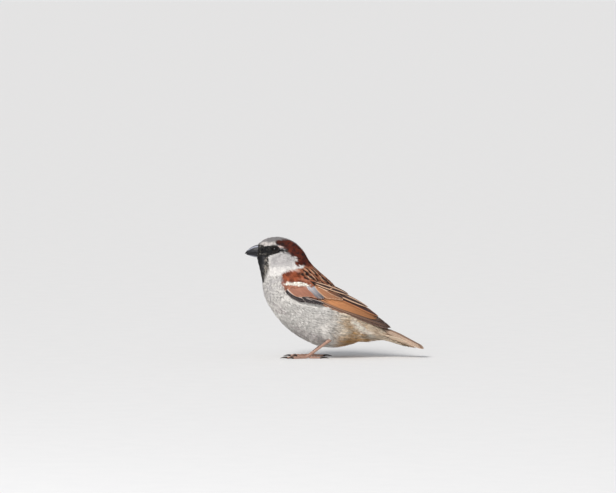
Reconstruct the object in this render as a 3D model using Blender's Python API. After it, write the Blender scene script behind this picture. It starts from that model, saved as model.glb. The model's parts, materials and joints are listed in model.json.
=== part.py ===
"""House sparrow, adult male, standing with its head up: a still, life-size model.

Blender 4.5. Metres, +Z up. The bird looks along -X, its left side is at -Y, and it stands on z = 0.
Sizes below are in millimetres and are scaled by MM where the meshes are made.
Each named object is one closed piece; pieces that meet keep a gap of about GAP between them.
"""

import math
from typing import NamedTuple

import bmesh
import bpy
import numpy as np
from mathutils import Vector

MM = 0.001
GAP = 0.3
HALF_LENGTH = 62.75  # from the origin to the bill tip, and to the tail tip

# Body widths, each half of the full width.
HEAD_HALF_WIDTH = 12.2
BREAST_HALF_WIDTH = 20.4

EYE_RADIUS = 2.5
EYE_AT = (-41.6, 76.0)  # side view, x and z
EYE_OUT = 9.3  # eyeball centre from the middle plane

BILL_HALF_WIDTH = 4.3
BILL_ROOT_X = -49.0  # the bill's hidden root, inside the face

ANKLE_AT = (-2.4, 14.9, 14.0)  # x, distance from the middle plane, z
FOOT_OUT = 10.4  # toe joint from the middle plane
FOOT_X = {"left": -18.6, "right": -16.4}
TOE_JOINT_Z = 1.75
TARSUS_RADIUS = 1.05
TOE_RADIUS = 0.86
SOLE_SHARE = 0.86  # height of a toe's centreline, as a share of its radius, so the sole is a flat

SIDES = {"left": -1, "right": 1}  # sign of y


class Section(NamedTuple):
    """One cross-section of the body: its top and bottom points in the side view, and its half width."""

    back: tuple
    belly: tuple
    half_width: float
    widest: float  # height of the widest level, from 0 at the back to 1 at the belly


BODY = [
    Section((-53.4, 79.9), (-54.4, 69.3), 5.0, 0.52),  # round the bill's root
    Section((-51.2, 81.6), (-53.8, 67.4), 6.9, 0.54),  # forehead and chin
    Section((-47.0, 83.6), (-52.9, 64.0), 0.80 * HEAD_HALF_WIDTH, 0.56),  # lores
    Section((-40.8, 84.6), (-51.9, 59.4), 0.94 * HEAD_HALF_WIDTH, 0.57),  # eye
    Section((-33.6, 83.5), (-50.9, 54.2), HEAD_HALF_WIDTH, 0.57),  # ear coverts
    Section((-27.2, 80.3), (-50.5, 48.8), 13.4, 0.54),  # hind crown
    Section((-22.0, 75.2), (-49.2, 43.0), 15.4, 0.50),  # nape
    Section((-18.0, 68.6), (-46.0, 35.8), 17.8, 0.48),  # neck base
    Section((-12.2, 62.0), (-39.6, 26.6), 0.96 * BREAST_HALF_WIDTH, 0.48),  # shoulders
    Section((-4.4, 55.0), (-29.3, 17.0), BREAST_HALF_WIDTH, 0.48),  # breast
    Section((4.0, 46.4), (-16.6, 9.9), 0.97 * BREAST_HALF_WIDTH, 0.48),  # belly
    Section((12.0, 38.6), (-3.5, 7.1), 0.85 * BREAST_HALF_WIDTH, 0.48),  # flanks
    Section((20.5, 31.8), (9.0, 8.5), 0.65 * BREAST_HALF_WIDTH, 0.48),  # vent
    Section((29.0, 25.0), (20.5, 12.0), 9.2, 0.48),  # rump
    Section((37.0, 18.4), (33.0, 11.8), 6.2, 0.46),  # tail coverts
    Section((45.2, 13.0), (43.5, 9.3), 4.4, 0.46),
    Section((53.4, 8.9), (52.8, 7.1), 2.4, 0.50),
]
HEAD_ENDS, NECK_ENDS, TRUNK_ENDS = 5.35, 7.4, 12.3  # places along BODY, in sections
RINGS_PER_SECTION = 2.5
RING_POINTS = 24
CUT_SHARE = 0.028  # half the parting gap, in sections


class Blade(NamedTuple):
    """One cross-section of a wing or tail: its two edge points, as distance out and height."""

    x: float
    low: tuple
    high: tuple
    bulge: float
    thick: float


WING = [
    Blade(-36.8, (17.2, 51.0), (16.6, 55.5), 0.5, 1.2),  # bend of the wing
    Blade(-34.0, (19.2, 45.8), (14.5, 60.2), 1.7, 2.6),
    Blade(-27.0, (20.9, 42.4), (11.8, 62.4), 3.2, 3.2),
    Blade(-18.0, (21.4, 39.8), (10.6, 60.8), 3.6, 3.2),
    Blade(-8.0, (20.2, 38.0), (7.2, 55.4), 4.1, 3.0),
    Blade(5.0, (16.9, 33.7), (3.0, 48.2), 3.4, 2.6),
    Blade(15.0, (12.9, 29.7), (1.2, 41.0), 2.4, 2.2),
    Blade(25.0, (8.8, 25.9), (0.9, 34.0), 1.3, 1.8),
    Blade(33.0, (5.9, 23.4), (0.9, 27.0), 0.6, 1.3),
    Blade(39.0, (3.7, 21.4), (2.1, 22.3), 0.1, 0.8),  # wing tip
]
WING_RINGS = 21
BLADE_POINTS = 6
COVERTS_CUT = ((-9.5, 36.0), (-3.0, 56.0))  # side view line, from the lower to the upper edge
PRIMARIES_CUT = ((-12.0, 42.5), (34.0, 26.6))  # side view line along the folded quills

TAIL = [
    Blade(34.0, (-3.4, 19.6), (3.4, 19.6), 1.2, 1.8),
    Blade(40.0, (-4.6, 17.2), (4.6, 17.2), 2.2, 1.7),
    Blade(47.0, (-5.8, 13.2), (5.8, 13.2), 3.0, 1.5),
    Blade(55.0, (-6.9, 9.0), (6.9, 9.0), 2.8, 1.3),
    Blade(60.6, (-7.3, 7.0), (7.3, 7.0), 1.8, 1.1),
    Blade(HALF_LENGTH, (-6.6, 6.5), (6.6, 6.5), 1.3, 0.9),
]
TAIL_RINGS = 12
TAIL_NOTCH = 1.8  # how far the middle of the tail falls short of its corners

# Each toe: angle out from straight ahead, length, and claw length. Toe 1 is the hind toe.
TOES = {1: (176.0, 8.6, 6.2), 2: (-19.0, 10.6, 4.4), 3: (1.0, 14.6, 5.2), 4: (22.0, 11.2, 4.4)}


def clear_scene():
    for obj in list(bpy.data.objects):
        bpy.data.objects.remove(obj, do_unlink=True)


def new_collection(name):
    collection = bpy.data.collections.new(name)
    bpy.context.scene.collection.children.link(collection)
    return collection


def material(name, colour, roughness):
    made = bpy.data.materials.new(name)
    made.use_nodes = True
    shader = made.node_tree.nodes["Principled BSDF"]
    shader.inputs["Base Color"].default_value = (*colour, 1.0)
    shader.inputs["Roughness"].default_value = roughness
    shader.inputs["Metallic"].default_value = 0.0
    return made


def add_object(name, mesh, collection, finish=None):
    obj = bpy.data.objects.new(name, mesh)
    collection.objects.link(obj)
    if finish:
        mesh.materials.append(finish)
        mesh.shade_smooth()
        mesh.set_sharp_from_angle(angle=math.radians(40))
    return obj


def hide_cutter(obj):
    obj.hide_render = True
    obj.display_type = "WIRE"


def spline(rows, place):
    """Catmull-Rom through rows of numbers; place 0 is the first row, 1 the second, and so on."""
    rows = np.asarray(rows, float)
    i = min(max(int(math.floor(place)), 0), len(rows) - 2)
    t = place - i
    before = rows[i - 1] if i > 0 else 2 * rows[0] - rows[1]
    after = rows[i + 2] if i + 2 < len(rows) else 2 * rows[-1] - rows[-2]
    a, b = rows[i], rows[i + 1]
    return 0.5 * (
        2 * a + (b - before) * t + (2 * before - 5 * a + 4 * b - after) * t**2
        + (3 * a - before - 3 * b + after) * t**3
    )


def loft(rings):
    """A closed mesh through rings of equally many points, in millimetres, with a flat face at each end."""
    bm = bmesh.new()
    loops = [[bm.verts.new(Vector(p) * MM) for p in ring] for ring in rings]
    count = len(loops[0])
    for near, far in zip(loops, loops[1:]):
        for i in range(count):
            j = (i + 1) % count
            bm.faces.new((near[i], near[j], far[j], far[i]))
    bm.faces.new(loops[0])
    bm.faces.new(reversed(loops[-1]))
    bmesh.ops.recalc_face_normals(bm, faces=bm.faces)
    return to_mesh(bm)


def to_mesh(bm):
    mesh = bpy.data.meshes.new("piece")
    bm.to_mesh(mesh)
    bm.free()
    return mesh


def grown(mesh, by):
    """A copy of a mesh with each vertex moved out along its normal, in millimetres."""
    copy = mesh.copy()
    normals = [Vector(n.vector) for n in mesh.vertex_normals]
    for vertex, normal in zip(copy.vertices, normals):
        vertex.co += normal * by * MM
    return copy


def cut_through(mesh, point, normal, fill=True):
    """Keeps the part of a mesh behind a plane, and closes it with a flat face. Millimetres."""
    bm = bmesh.new()
    bm.from_mesh(mesh)
    everything = bm.verts[:] + bm.edges[:] + bm.faces[:]
    cut = bmesh.ops.bisect_plane(
        bm, geom=everything, dist=1e-7, plane_co=Vector(point) * MM, plane_no=normal, clear_outer=True
    )
    if fill:
        rim = [e for e in cut["geom_cut"] if isinstance(e, bmesh.types.BMEdge) and e.is_valid]
        bmesh.ops.triangle_fill(bm, use_beauty=True, edges=rim)
    bmesh.ops.recalc_face_normals(bm, faces=bm.faces)
    return to_mesh(bm)


def side_cut(mesh, line, keep, gap=GAP / 2):
    """Parts a mesh along a line of the side view; keep is +1 for its upper or rear part, -1 for the other."""
    (x0, z0), (x1, z1) = line
    across = Vector((-(z1 - z0), 0.0, x1 - x0)).normalized()
    point = Vector((x0, 0.0, z0)) + across * gap * keep
    return cut_through(mesh, point, -keep * across)


def flattened(mesh):
    """The mesh cut off at the floor."""
    return cut_through(mesh, (0, 0, 0), Vector((0, 0, -1)))


def carve(obj, cutters):
    """Boolean cuts, applied, keeping the largest body: a cut can leave a sliver loose beside it."""
    for cutter in cutters:
        change = obj.modifiers.new("fit " + cutter.name, "BOOLEAN")
        change.operation = "DIFFERENCE"
        change.solver = "EXACT"
        change.object = cutter
    apply_modifiers(obj)
    keep_largest(obj.data)


def apply_modifiers(obj):
    graph = bpy.context.evaluated_depsgraph_get()
    graph.update()
    mesh = bpy.data.meshes.new_from_object(obj.evaluated_get(graph))
    obj.modifiers.clear()
    obj.data = mesh


def keep_largest(mesh):
    """Deletes every island of a mesh but the one with the most vertices."""
    bm = bmesh.new()
    bm.from_mesh(mesh)
    left, islands = set(bm.verts), []
    while left:
        island, queue = set(), [left.pop()]
        while queue:
            vertex = queue.pop()
            island.add(vertex)
            for edge in vertex.link_edges:
                other = edge.other_vert(vertex)
                if other in left:
                    left.discard(other)
                    queue.append(other)
        islands.append(island)
    islands.sort(key=len)
    spare = [v for island in islands[:-1] for v in island]
    bmesh.ops.delete(bm, geom=spare, context="VERTS")
    bm.to_mesh(mesh)
    bm.free()


def body_ring(place):
    """A closed ring of points round the body at a place along BODY."""
    row = spline([(*s.back, *s.belly, s.half_width, s.widest) for s in BODY], place)
    back, belly = row[0:2], row[2:4]
    half_width, widest = row[4], row[5]
    middle = back + (belly - back) * widest
    fullness = 0.94  # a little squarer than an ellipse
    points = []
    for k in range(RING_POINTS):
        angle = 2 * math.pi * k / RING_POINTS
        c, s = math.cos(angle), math.sin(angle)
        out = math.copysign(abs(c) ** fullness, c) * half_width
        rise = abs(s) ** fullness
        x, z = middle + ((back if s > 0 else belly) - middle) * rise
        points.append((x, out, z))
    return points


def body_piece(start, end):
    count = max(2, round((end - start) * RINGS_PER_SECTION) + 1)
    return loft([body_ring(p) for p in np.linspace(start, end, count)])


def blade_ring(low, high, bulge, thick, place_x):
    """A ring round a thin curved blade; low and high are (y, z), and place_x gives x along the blade's width."""
    low, high = np.array(low), np.array(high)
    chord = high - low
    out = np.array([chord[1], -chord[0]]) / np.linalg.norm(chord)
    outer, inner = [], []
    for k in range(BLADE_POINTS + 1):
        v = k / BLADE_POINTS
        arch = 4 * v * (1 - v)
        point = low + chord * v + out * bulge * arch
        depth = 0.5 * thick * (0.35 + 0.65 * arch**0.5)
        inner.append((place_x(v), *(point - out * 2 * depth)))
        outer.append((place_x(v), *point))
    return outer + inner[::-1]


def wing_mesh(sign):
    rows = [(b.x, *b.low, *b.high, b.bulge, b.thick) for b in WING]
    rings = []
    for place in np.linspace(0, len(WING) - 1, WING_RINGS):
        x, low_y, low_z, high_y, high_z, bulge, thick = spline(rows, place)
        ring = blade_ring((low_y, low_z), (high_y, high_z), bulge, thick, lambda v, x=x: x)
        rings.append([(px, sign * y, z) for px, y, z in ring])
    return loft(rings)


def tail_mesh():
    rows = [(b.x, *b.low, *b.high, b.bulge, b.thick) for b in TAIL]
    rings = []
    for place in np.linspace(0, len(TAIL) - 1, TAIL_RINGS):
        x, low_y, low_z, high_y, high_z, bulge, thick = spline(rows, place)
        notch = TAIL_NOTCH * max(0.0, place / (len(TAIL) - 1)) ** 4
        ring = blade_ring(
            (high_y, high_z), (low_y, low_z), bulge, thick,
            lambda v, x=x, notch=notch: x - notch * 4 * v * (1 - v),
        )
        rings.append(ring)
    return loft(rings)


def tube(points, radii, sides=8):
    """A round tube with a radius for each point, in millimetres, made from a curve and welded."""
    curve = bpy.data.curves.new("tube", "CURVE")
    curve.dimensions = "3D"
    curve.bevel_depth = MM
    curve.bevel_resolution = sides // 2 - 2
    curve.use_fill_caps = True
    path = curve.splines.new("POLY")
    path.points.add(len(points) - 1)
    for node, place, radius in zip(path.points, points, radii):
        node.co = (*(Vector(place) * MM), 1.0)
        node.radius = radius
    holder = bpy.data.objects.new("tube", curve)
    bpy.context.scene.collection.objects.link(holder)
    graph = bpy.context.evaluated_depsgraph_get()
    graph.update()
    mesh = bpy.data.meshes.new_from_object(holder.evaluated_get(graph))
    bpy.data.objects.remove(holder, do_unlink=True)
    bpy.data.curves.remove(curve)
    bm = bmesh.new()
    bm.from_mesh(mesh)
    bmesh.ops.remove_doubles(bm, verts=bm.verts, dist=1e-6)
    bmesh.ops.recalc_face_normals(bm, faces=bm.faces)
    return to_mesh(bm)


def bill_mesh(rows):
    """Half of the bill: rows hold x, ridge height, height of the cutting edge, and half width."""
    across = 10
    rings = []
    for place in np.linspace(0, len(rows) - 1, 10):
        x, ridge, edge, half_width = spline(rows, place)
        ring = []
        for k in range(across + 1):
            angle = math.pi * k / across
            rise = math.sin(angle) ** 0.85
            ring.append((x, half_width * math.cos(angle), edge + (ridge - edge) * rise))
        for k in range(1, 4):
            ring.append((x, half_width * (-1 + 2 * k / 4), edge))
        rings.append(ring)
    return loft(rings)


UPPER_BILL = [
    (-HALF_LENGTH, 73.35, 72.85, 0.25),
    (-61.6, 74.7, 73.15, 0.85),
    (-59.0, 76.9, 73.55, 0.50 * BILL_HALF_WIDTH),
    (-56.0, 78.5, 73.75, 0.78 * BILL_HALF_WIDTH),
    (-52.6, 79.1, 73.30, 0.96 * BILL_HALF_WIDTH),
    (BILL_ROOT_X, 78.4, 72.40, BILL_HALF_WIDTH),
]
LOWER_BILL = [
    (-61.9, 72.30, 72.75, 0.25),
    (-60.6, 71.75, 72.95, 0.90),
    (-58.4, 71.00, 73.20, 0.52 * BILL_HALF_WIDTH),
    (-55.6, 70.35, 73.35, 0.76 * BILL_HALF_WIDTH),
    (-52.6, 70.05, 72.98, 0.92 * BILL_HALF_WIDTH),
    (BILL_ROOT_X, 70.30, 72.05, 0.96 * BILL_HALF_WIDTH),
]


def build_head(parts, cutters, finish):
    """Head, bill and eyes. The face is fitted round the bill's root and the eyeballs."""
    bill_upper, bill_lower = bill_mesh(UPPER_BILL), bill_mesh(LOWER_BILL)
    add_object("bill_upper", bill_upper, parts, finish["horn"])
    add_object("bill_lower", bill_lower, parts, finish["horn"])
    sockets = [
        add_object("cutter_bill_upper", grown(bill_upper, GAP), cutters),
        add_object("cutter_bill_lower", grown(bill_lower, GAP), cutters),
    ]
    for side, sign in SIDES.items():
        place = (EYE_AT[0], sign * EYE_OUT, EYE_AT[1])
        eye = add_object("eye_" + side, ball(EYE_RADIUS, place), parts, finish["eye"])
        sockets.append(add_object("cutter_eye_" + side, grown(eye.data, GAP), cutters))
    head = add_object("head", body_piece(0, HEAD_ENDS - CUT_SHARE), parts, finish["head"])
    carve(head, sockets)


def ball(radius, place):
    bm = bmesh.new()
    bmesh.ops.create_uvsphere(bm, u_segments=16, v_segments=10, radius=radius * MM)
    bmesh.ops.translate(bm, verts=bm.verts, vec=Vector(place) * MM)
    return to_mesh(bm)


def build_wings(parts, cutters, finish):
    """Each folded wing is parted into its coverts, its secondaries and its primaries."""
    made = []
    for side, sign in SIDES.items():
        whole = wing_mesh(sign)
        quills = side_cut(whole, COVERTS_CUT, -1)
        pieces = {
            "coverts": side_cut(whole, COVERTS_CUT, 1),
            "secondaries": side_cut(quills, PRIMARIES_CUT, 1),
            "primaries": side_cut(quills, PRIMARIES_CUT, -1),
        }
        for name, mesh in pieces.items():
            add_object(f"wing_{side}_{name}", mesh, parts, finish[name])
        made.append(add_object("cutter_wing_" + side, grown(whole, GAP), cutters))
    return made


def build_tail(parts, cutters, finish):
    mesh = tail_mesh()
    add_object("tail", mesh, parts, finish["tail"])
    return add_object("cutter_tail", grown(mesh, GAP), cutters)


def build_legs(parts, cutters, finish):
    """Feathered thighs, bare tarsi, and feet with a hind toe and three front toes."""
    legs = []
    for side, sign in SIDES.items():
        ankle = Vector((ANKLE_AT[0], sign * ANKLE_AT[1], ANKLE_AT[2]))
        joint = Vector((FOOT_X[side], sign * FOOT_OUT, TOE_JOINT_Z))
        down = (joint - ankle).normalized()
        hip = ankle + Vector((-7.0, sign * 1.4, 12.5))
        steps = [hip + (ankle - hip) * t for t in (0.0, 0.22, 0.42, 0.62, 0.78, 0.88)]
        thigh = tube(steps, (2.6, 4.0, 4.2, 3.6, 2.9, 2.0), sides=12)
        add_object("thigh_" + side, thigh, parts, finish["thigh"])
        legs.append(add_object("cutter_thigh_" + side, grown(thigh, GAP), cutters))
        start = ankle + down * 1.3
        end = joint - down * (1.55 + GAP)
        shares = (0.0, 0.08, 0.2, 0.5, 0.8, 0.93, 1.0)
        girth = (1.2, 1.3, 1.0, 0.92, 0.92, 1.08, 1.12)
        tarsus = tube(
            [start + (end - start) * t for t in shares], [TARSUS_RADIUS * g for g in girth], sides=10
        )
        add_object("tarsus_" + side, tarsus, parts, finish["leg"])
        legs.append(add_object("cutter_tarsus_" + side, grown(tarsus, GAP), cutters))
        build_foot(side, sign, joint, parts, finish)
    return legs


def toe_path(joint, heading, length):
    """Points and radii of one toe, from the joint down to the floor and along it to the claw."""
    shares = (0.0, 0.14, 0.28, 0.42, 0.56, 0.7, 0.84, 1.0)
    points, radii = [], []
    for t in shares:
        pad = 1.0 + 0.09 * math.cos(t * 6.5 * math.pi)
        radius = TOE_RADIUS * (1.08 - 0.3 * t) * pad
        lying = SOLE_SHARE * radius
        height = lying + (joint.z - lying) * max(0.0, 1 - t / 0.3) ** 2
        place = joint + heading * length * t
        points.append((place.x, place.y, height))
        radii.append(radius)
    return points, radii


def build_foot(side, sign, joint, parts, finish):
    toes = []
    for number, (angle, length, claw_length) in TOES.items():
        turn = math.radians(angle)
        heading = Vector((-math.cos(turn), sign * math.sin(turn), 0.0))
        points, radii = toe_path(joint, heading, length)
        toes.append(flattened(tube(points, radii)))
        claw = claw_mesh(Vector(points[-1]) + heading * GAP, heading, claw_length, radii[-1])
        add_object(f"claw_{side}_{number}", claw, parts, finish["claw"])
    knob = ball(1.3, joint + Vector((0, 0, -0.15)))
    foot = add_object("foot_" + side, flattened(knob), parts, finish["leg"])
    helpers = []
    for mesh in toes:
        helper = add_object("toe", mesh, parts)
        change = foot.modifiers.new("toe", "BOOLEAN")
        change.operation, change.solver, change.object = "UNION", "EXACT", helper
        helpers.append(helper)
    apply_modifiers(foot)
    foot.data.shade_smooth()
    foot.data.set_sharp_from_angle(angle=math.radians(40))
    for helper in helpers:
        bpy.data.objects.remove(helper, do_unlink=True)


def claw_mesh(root, heading, length, radius):
    """A claw that leaves the toe level, arches and comes down to a point just above the floor."""
    points, radii = [], []
    for t in (0.0, 0.2, 0.45, 0.7, 1.0):
        fall = root.z - 0.24
        height = root.z + 0.75 * math.sin(math.pi * t * 0.8) * (1 - t) - fall * t**1.6
        points.append(root + heading * length * t + Vector((0, 0, height - root.z)))
        radii.append(radius * 0.8 * (1 - t) ** 0.7 + 0.14)
    return tube(points, radii, sides=6)


def build_body(parts, finish, cutters):
    """Neck, trunk and rump, each fitted round the wings, the thighs and the tail."""
    ends = {
        "neck": (HEAD_ENDS, NECK_ENDS),
        "trunk": (NECK_ENDS, TRUNK_ENDS),
        "rump": (TRUNK_ENDS, len(BODY) - 1 - CUT_SHARE),
    }
    for name, (start, end) in ends.items():
        mesh = body_piece(start + CUT_SHARE, end - (0 if name == "rump" else CUT_SHARE))
        obj = add_object(name, mesh, parts, finish[name])
        carve(obj, cutters)


def main():
    clear_scene()
    parts = new_collection("house_sparrow")
    cutters = new_collection("cutters")
    finish = {
        "head": material("head feathers", (0.30, 0.15, 0.09), 0.85),
        "neck": material("neck feathers", (0.52, 0.47, 0.42), 0.9),
        "trunk": material("body feathers", (0.56, 0.53, 0.49), 0.9),
        "rump": material("rump feathers", (0.45, 0.40, 0.33), 0.9),
        "thigh": material("thigh feathers", (0.42, 0.37, 0.30), 0.9),
        "coverts": material("wing coverts", (0.36, 0.16, 0.08), 0.75),
        "secondaries": material("secondaries", (0.34, 0.20, 0.11), 0.7),
        "primaries": material("primaries", (0.14, 0.09, 0.06), 0.7),
        "tail": material("tail feathers", (0.24, 0.18, 0.13), 0.75),
        "horn": material("black horn", (0.03, 0.03, 0.035), 0.38),
        "claw": material("dark claw", (0.06, 0.045, 0.04), 0.4),
        "leg": material("scaled leg", (0.45, 0.26, 0.20), 0.55),
        "eye": material("dark eye", (0.02, 0.012, 0.008), 0.08),
    }
    wings = build_wings(parts, cutters, finish)
    tail = build_tail(parts, cutters, finish)
    legs = build_legs(parts, cutters, finish)
    build_head(parts, cutters, finish)
    build_body(parts, finish, [*wings, tail, *legs])
    for cutter in cutters.objects:
        hide_cutter(cutter)


main()
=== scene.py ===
import json
import math

import bmesh
import bpy
import numpy as np
from mathutils import Matrix, Vector
from mathutils.bvhtree import BVHTree
from mathutils.kdtree import KDTree

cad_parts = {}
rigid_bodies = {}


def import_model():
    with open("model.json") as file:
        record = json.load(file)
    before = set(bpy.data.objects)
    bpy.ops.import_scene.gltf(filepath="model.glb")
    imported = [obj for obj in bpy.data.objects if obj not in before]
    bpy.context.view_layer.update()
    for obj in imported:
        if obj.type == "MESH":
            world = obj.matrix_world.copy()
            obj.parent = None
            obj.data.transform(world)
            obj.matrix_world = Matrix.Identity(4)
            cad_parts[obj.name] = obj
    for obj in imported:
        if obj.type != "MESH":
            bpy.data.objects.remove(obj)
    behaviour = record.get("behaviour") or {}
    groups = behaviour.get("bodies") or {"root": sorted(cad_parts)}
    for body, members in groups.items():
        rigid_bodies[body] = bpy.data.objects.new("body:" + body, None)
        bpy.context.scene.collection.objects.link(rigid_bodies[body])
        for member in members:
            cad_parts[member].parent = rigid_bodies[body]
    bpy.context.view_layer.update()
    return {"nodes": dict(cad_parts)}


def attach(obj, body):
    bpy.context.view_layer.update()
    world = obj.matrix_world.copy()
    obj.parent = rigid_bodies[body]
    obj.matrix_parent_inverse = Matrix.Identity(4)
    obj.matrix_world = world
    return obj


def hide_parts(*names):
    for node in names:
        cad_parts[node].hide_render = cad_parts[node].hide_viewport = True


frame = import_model()

# ---------------------------------------------------------------------------------------------------
# The bare body. Under its feathers a bird is one smooth skin from the bill to the root of the tail.
# It is made from the solids of the head, neck, trunk, rump and thighs, closed over their parting cuts,
# and it lies inside them by the depth of the plumage.
# ---------------------------------------------------------------------------------------------------
MM = 0.001
FLESH = ("head", "neck", "trunk", "rump", "thigh_left", "thigh_right")
SHOULDERS = ("wing_left_coverts", "wing_right_coverts")
CLOSE_CUTS = 0.35 * MM
SKIN_GRAIN = 0.8 * MM
SKIN_SMOOTHING = 10
CALMING = 60
CALM_SPOTS = ((-5.0, 20.0, 12.0), (-2.0, 36.0, 11.0))  # x, z and reach in millimetres
CALM_OFF_MIDDLE = 6.0 * MM  # the breast and the back, nearer the middle plane, aren't calmed
BILL_BASE = np.array((-53.0, 0.0, 74.5)) * MM
EYE_CENTRE = np.array((-41.6, 9.3, 76.0)) * MM  # y is its distance from the middle plane
EYE_RADIUS = 2.5 * MM
BROW_RIDGE = np.array((-42.6, 9.6, 78.9))  # the ridge of the skull over the eye
BROW_LIFT = 0.45 * MM
SHOULDER_MIDDLE, SHOULDER_REACH = (-27.0, 56.0), (13.0, 7.0)  # in x and z, where small coverts lie
WING_OFF_MIDDLE = 8.0 * MM  # a folded wing lies further out than this
NEAR_SOLID = 4.0 * MM  # how far a solid is looked for
NORMAL_SMOOTHING = 4
SIDES = {"left": -1, "right": 1}  # sign of y


def piece(name, data):
    """A new object at the origin, holding a finished mesh, or a lamp or lens that is placed later."""
    made = bpy.data.objects.new(name, data)
    bpy.context.scene.collection.objects.link(made)
    return made


def applied(obj):
    """The mesh of an object with its modifiers applied; the object itself goes."""
    graph = bpy.context.evaluated_depsgraph_get()
    graph.update()
    mesh = bpy.data.meshes.new_from_object(obj.evaluated_get(graph))
    bpy.data.objects.remove(obj, do_unlink=True)
    return mesh


def read_rows(items, field, width=3, kind=float):
    """One field of all the vertices, edges, faces or corners of a mesh, as rows of width numbers."""
    flat = np.empty(width * len(items), kind)
    items.foreach_get(field, flat)
    return flat.reshape(-1, width)


def points_of(mesh):
    return read_rows(mesh.vertices, "co")


def normals_of(mesh):
    return read_rows(mesh.vertex_normals, "vector")


def move_points(mesh, points):
    mesh.vertices.foreach_set("co", points.ravel())
    mesh.update()


def one_sided(points):
    """The points with the right half of the body folded onto the other: y becomes a distance."""
    return np.column_stack([points[:, 0], np.abs(points[:, 1]), points[:, 2]])


def unit(rows):
    return rows / np.maximum(np.linalg.norm(rows, axis=-1, keepdims=True), 1e-12)


def smooth_step(low, high, value):
    t = np.clip((value - low) / (high - low), 0.0, 1.0)
    return t * t * (3 - 2 * t)


def remeshed(mesh, grain):
    """The outside of everything in a mesh as one even skin of small quads."""
    blank = piece("blank", mesh)
    closing = blank.modifiers.new("close", "REMESH")
    closing.mode, closing.voxel_size = "VOXEL", grain
    return applied(blank)


def body_blank():
    """The flesh solids, each grown a little so that they run into one another, as one mesh."""
    bm = bmesh.new()
    for name in FLESH + SHOULDERS:
        one = bmesh.new()
        one.from_mesh(frame["nodes"][name].data)
        bmesh.ops.remove_doubles(one, verts=one.verts, dist=0.02 * MM)
        one.normal_update()
        for vertex in one.verts:
            vertex.co += vertex.normal * CLOSE_CUTS
        loose = bpy.data.meshes.new("blank")
        one.to_mesh(loose)
        one.free()
        bm.from_mesh(loose)
        bpy.data.meshes.remove(loose)
    mesh = bpy.data.meshes.new("blank")
    bm.to_mesh(mesh)
    bm.free()
    return remeshed(mesh, SKIN_GRAIN)


# The lie of the coat: lines from the bill to the tail, along the back and along the belly, as
# (back x, back z, belly x, belly z) in millimetres. Feathers lie along them, and tracts are told by them.
LIE = (
    (-53.4, 79.9, -54.4, 69.3), (-47.0, 83.6, -52.9, 64.0), (-33.6, 83.5, -50.9, 54.2),
    (-22.0, 75.2, -49.2, 43.0), (-12.2, 62.0, -39.6, 26.6), (4.0, 46.4, -16.6, 9.9),
    (20.5, 31.8, 9.0, 8.5), (37.0, 18.4, 33.0, 11.8), (53.4, 8.9, 52.8, 7.1),
)
ALONG, DOWN = np.meshgrid(np.linspace(0, len(LIE) - 1, 241), np.linspace(0, 1, 41), indexing="ij")


def spline(rows, place):
    """Catmull-Rom through rows of numbers; place 0 is the first row, 1 the second, and so on."""
    rows = np.asarray(rows, float)
    place = np.atleast_1d(np.asarray(place, float))
    i = np.clip(np.floor(place).astype(int), 0, len(rows) - 2)
    t = (place - i)[:, None]
    padded = np.vstack([2 * rows[0] - rows[1], rows, 2 * rows[-1] - rows[-2]])
    before, a, b, after = padded[i], padded[i + 1], padded[i + 2], padded[i + 3]
    return 0.5 * (
        2 * a + (b - before) * t + (2 * before - 5 * a + 4 * b - after) * t**2
        + (3 * a - before - 3 * b + after) * t**3
    )


def lie_grid():
    """Side view points over the body, and the direction in which the coat runs at each."""
    lines = spline(LIE, ALONG[:, 0]) * MM
    x = lines[:, None, 0] + (lines[:, None, 2] - lines[:, None, 0]) * DOWN
    z = lines[:, None, 1] + (lines[:, None, 3] - lines[:, None, 1]) * DOWN
    run = np.stack([np.gradient(x, axis=0), np.gradient(z, axis=0)], -1)
    return np.stack([x, z], -1).reshape(-1, 2), unit(run).reshape(-1, 2)


def coat_place(points):
    """For each point: its place along the body, its height from back 0 to belly 1, and the coat's run."""
    spots, runs = lie_grid()
    tree = KDTree(len(spots))
    for i, (x, z) in enumerate(spots):
        tree.insert((x, 0.0, z), i)
    tree.balance()
    where = np.array([tree.find((p[0], 0.0, p[2]))[1] for p in points])
    return ALONG.ravel()[where], DOWN.ravel()[where], runs[where]


def node_surfaces(names):
    """A search tree over the outsides of some solids."""
    bm = bmesh.new()
    for name in names:
        bm.from_mesh(frame["nodes"][name].data)
    tree = BVHTree.FromBMesh(bm)
    bm.free()
    return tree


def distance_to(points, names, reach):
    """How far each point is from some solids, up to reach."""
    tree = node_surfaces(names)
    return np.array([tree.find_nearest(Vector(p), reach)[3] or reach for p in points])


def from_face(points):
    """How far each point is from the base of the bill and from the middle of its eye, in millimetres."""
    bill = np.linalg.norm(points - BILL_BASE, axis=1) / MM
    return bill, np.linalg.norm(one_sided(points) - EYE_CENTRE, axis=1) / MM


def depth_of_coat(points, along):
    """The plumage is thin round the bill and the eye and deepest on the body. On the folded wing the
    skin also lies under the vanes, save where only small coverts cover the shoulder."""
    bill, eye = from_face(points)
    depth = 0.30 + 0.42 * smooth_step(2.4, 5.2, along)
    depth *= 0.5 + 0.5 * smooth_step(5.0, 13.0, bill)
    depth *= 0.12 + 0.88 * smooth_step(2.6, 7.0, eye)
    depth *= 1.0 - 0.3 * smooth_step(5.9, 7.2, along)
    shoulder = np.hypot(*((points[:, (0, 2)] / MM - SHOULDER_MIDDLE) / SHOULDER_REACH).T)
    under_vanes = 1.8 - 1.1 * smooth_step(1.35, 0.85, shoulder)
    wing = smooth_step(2.6, 0.9, distance_to(points, SHOULDERS, NEAR_SOLID) / MM)
    wing = wing * (np.abs(points[:, 1]) > WING_OFF_MIDDLE)
    return (depth + (under_vanes - depth) * wing) * MM


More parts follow.
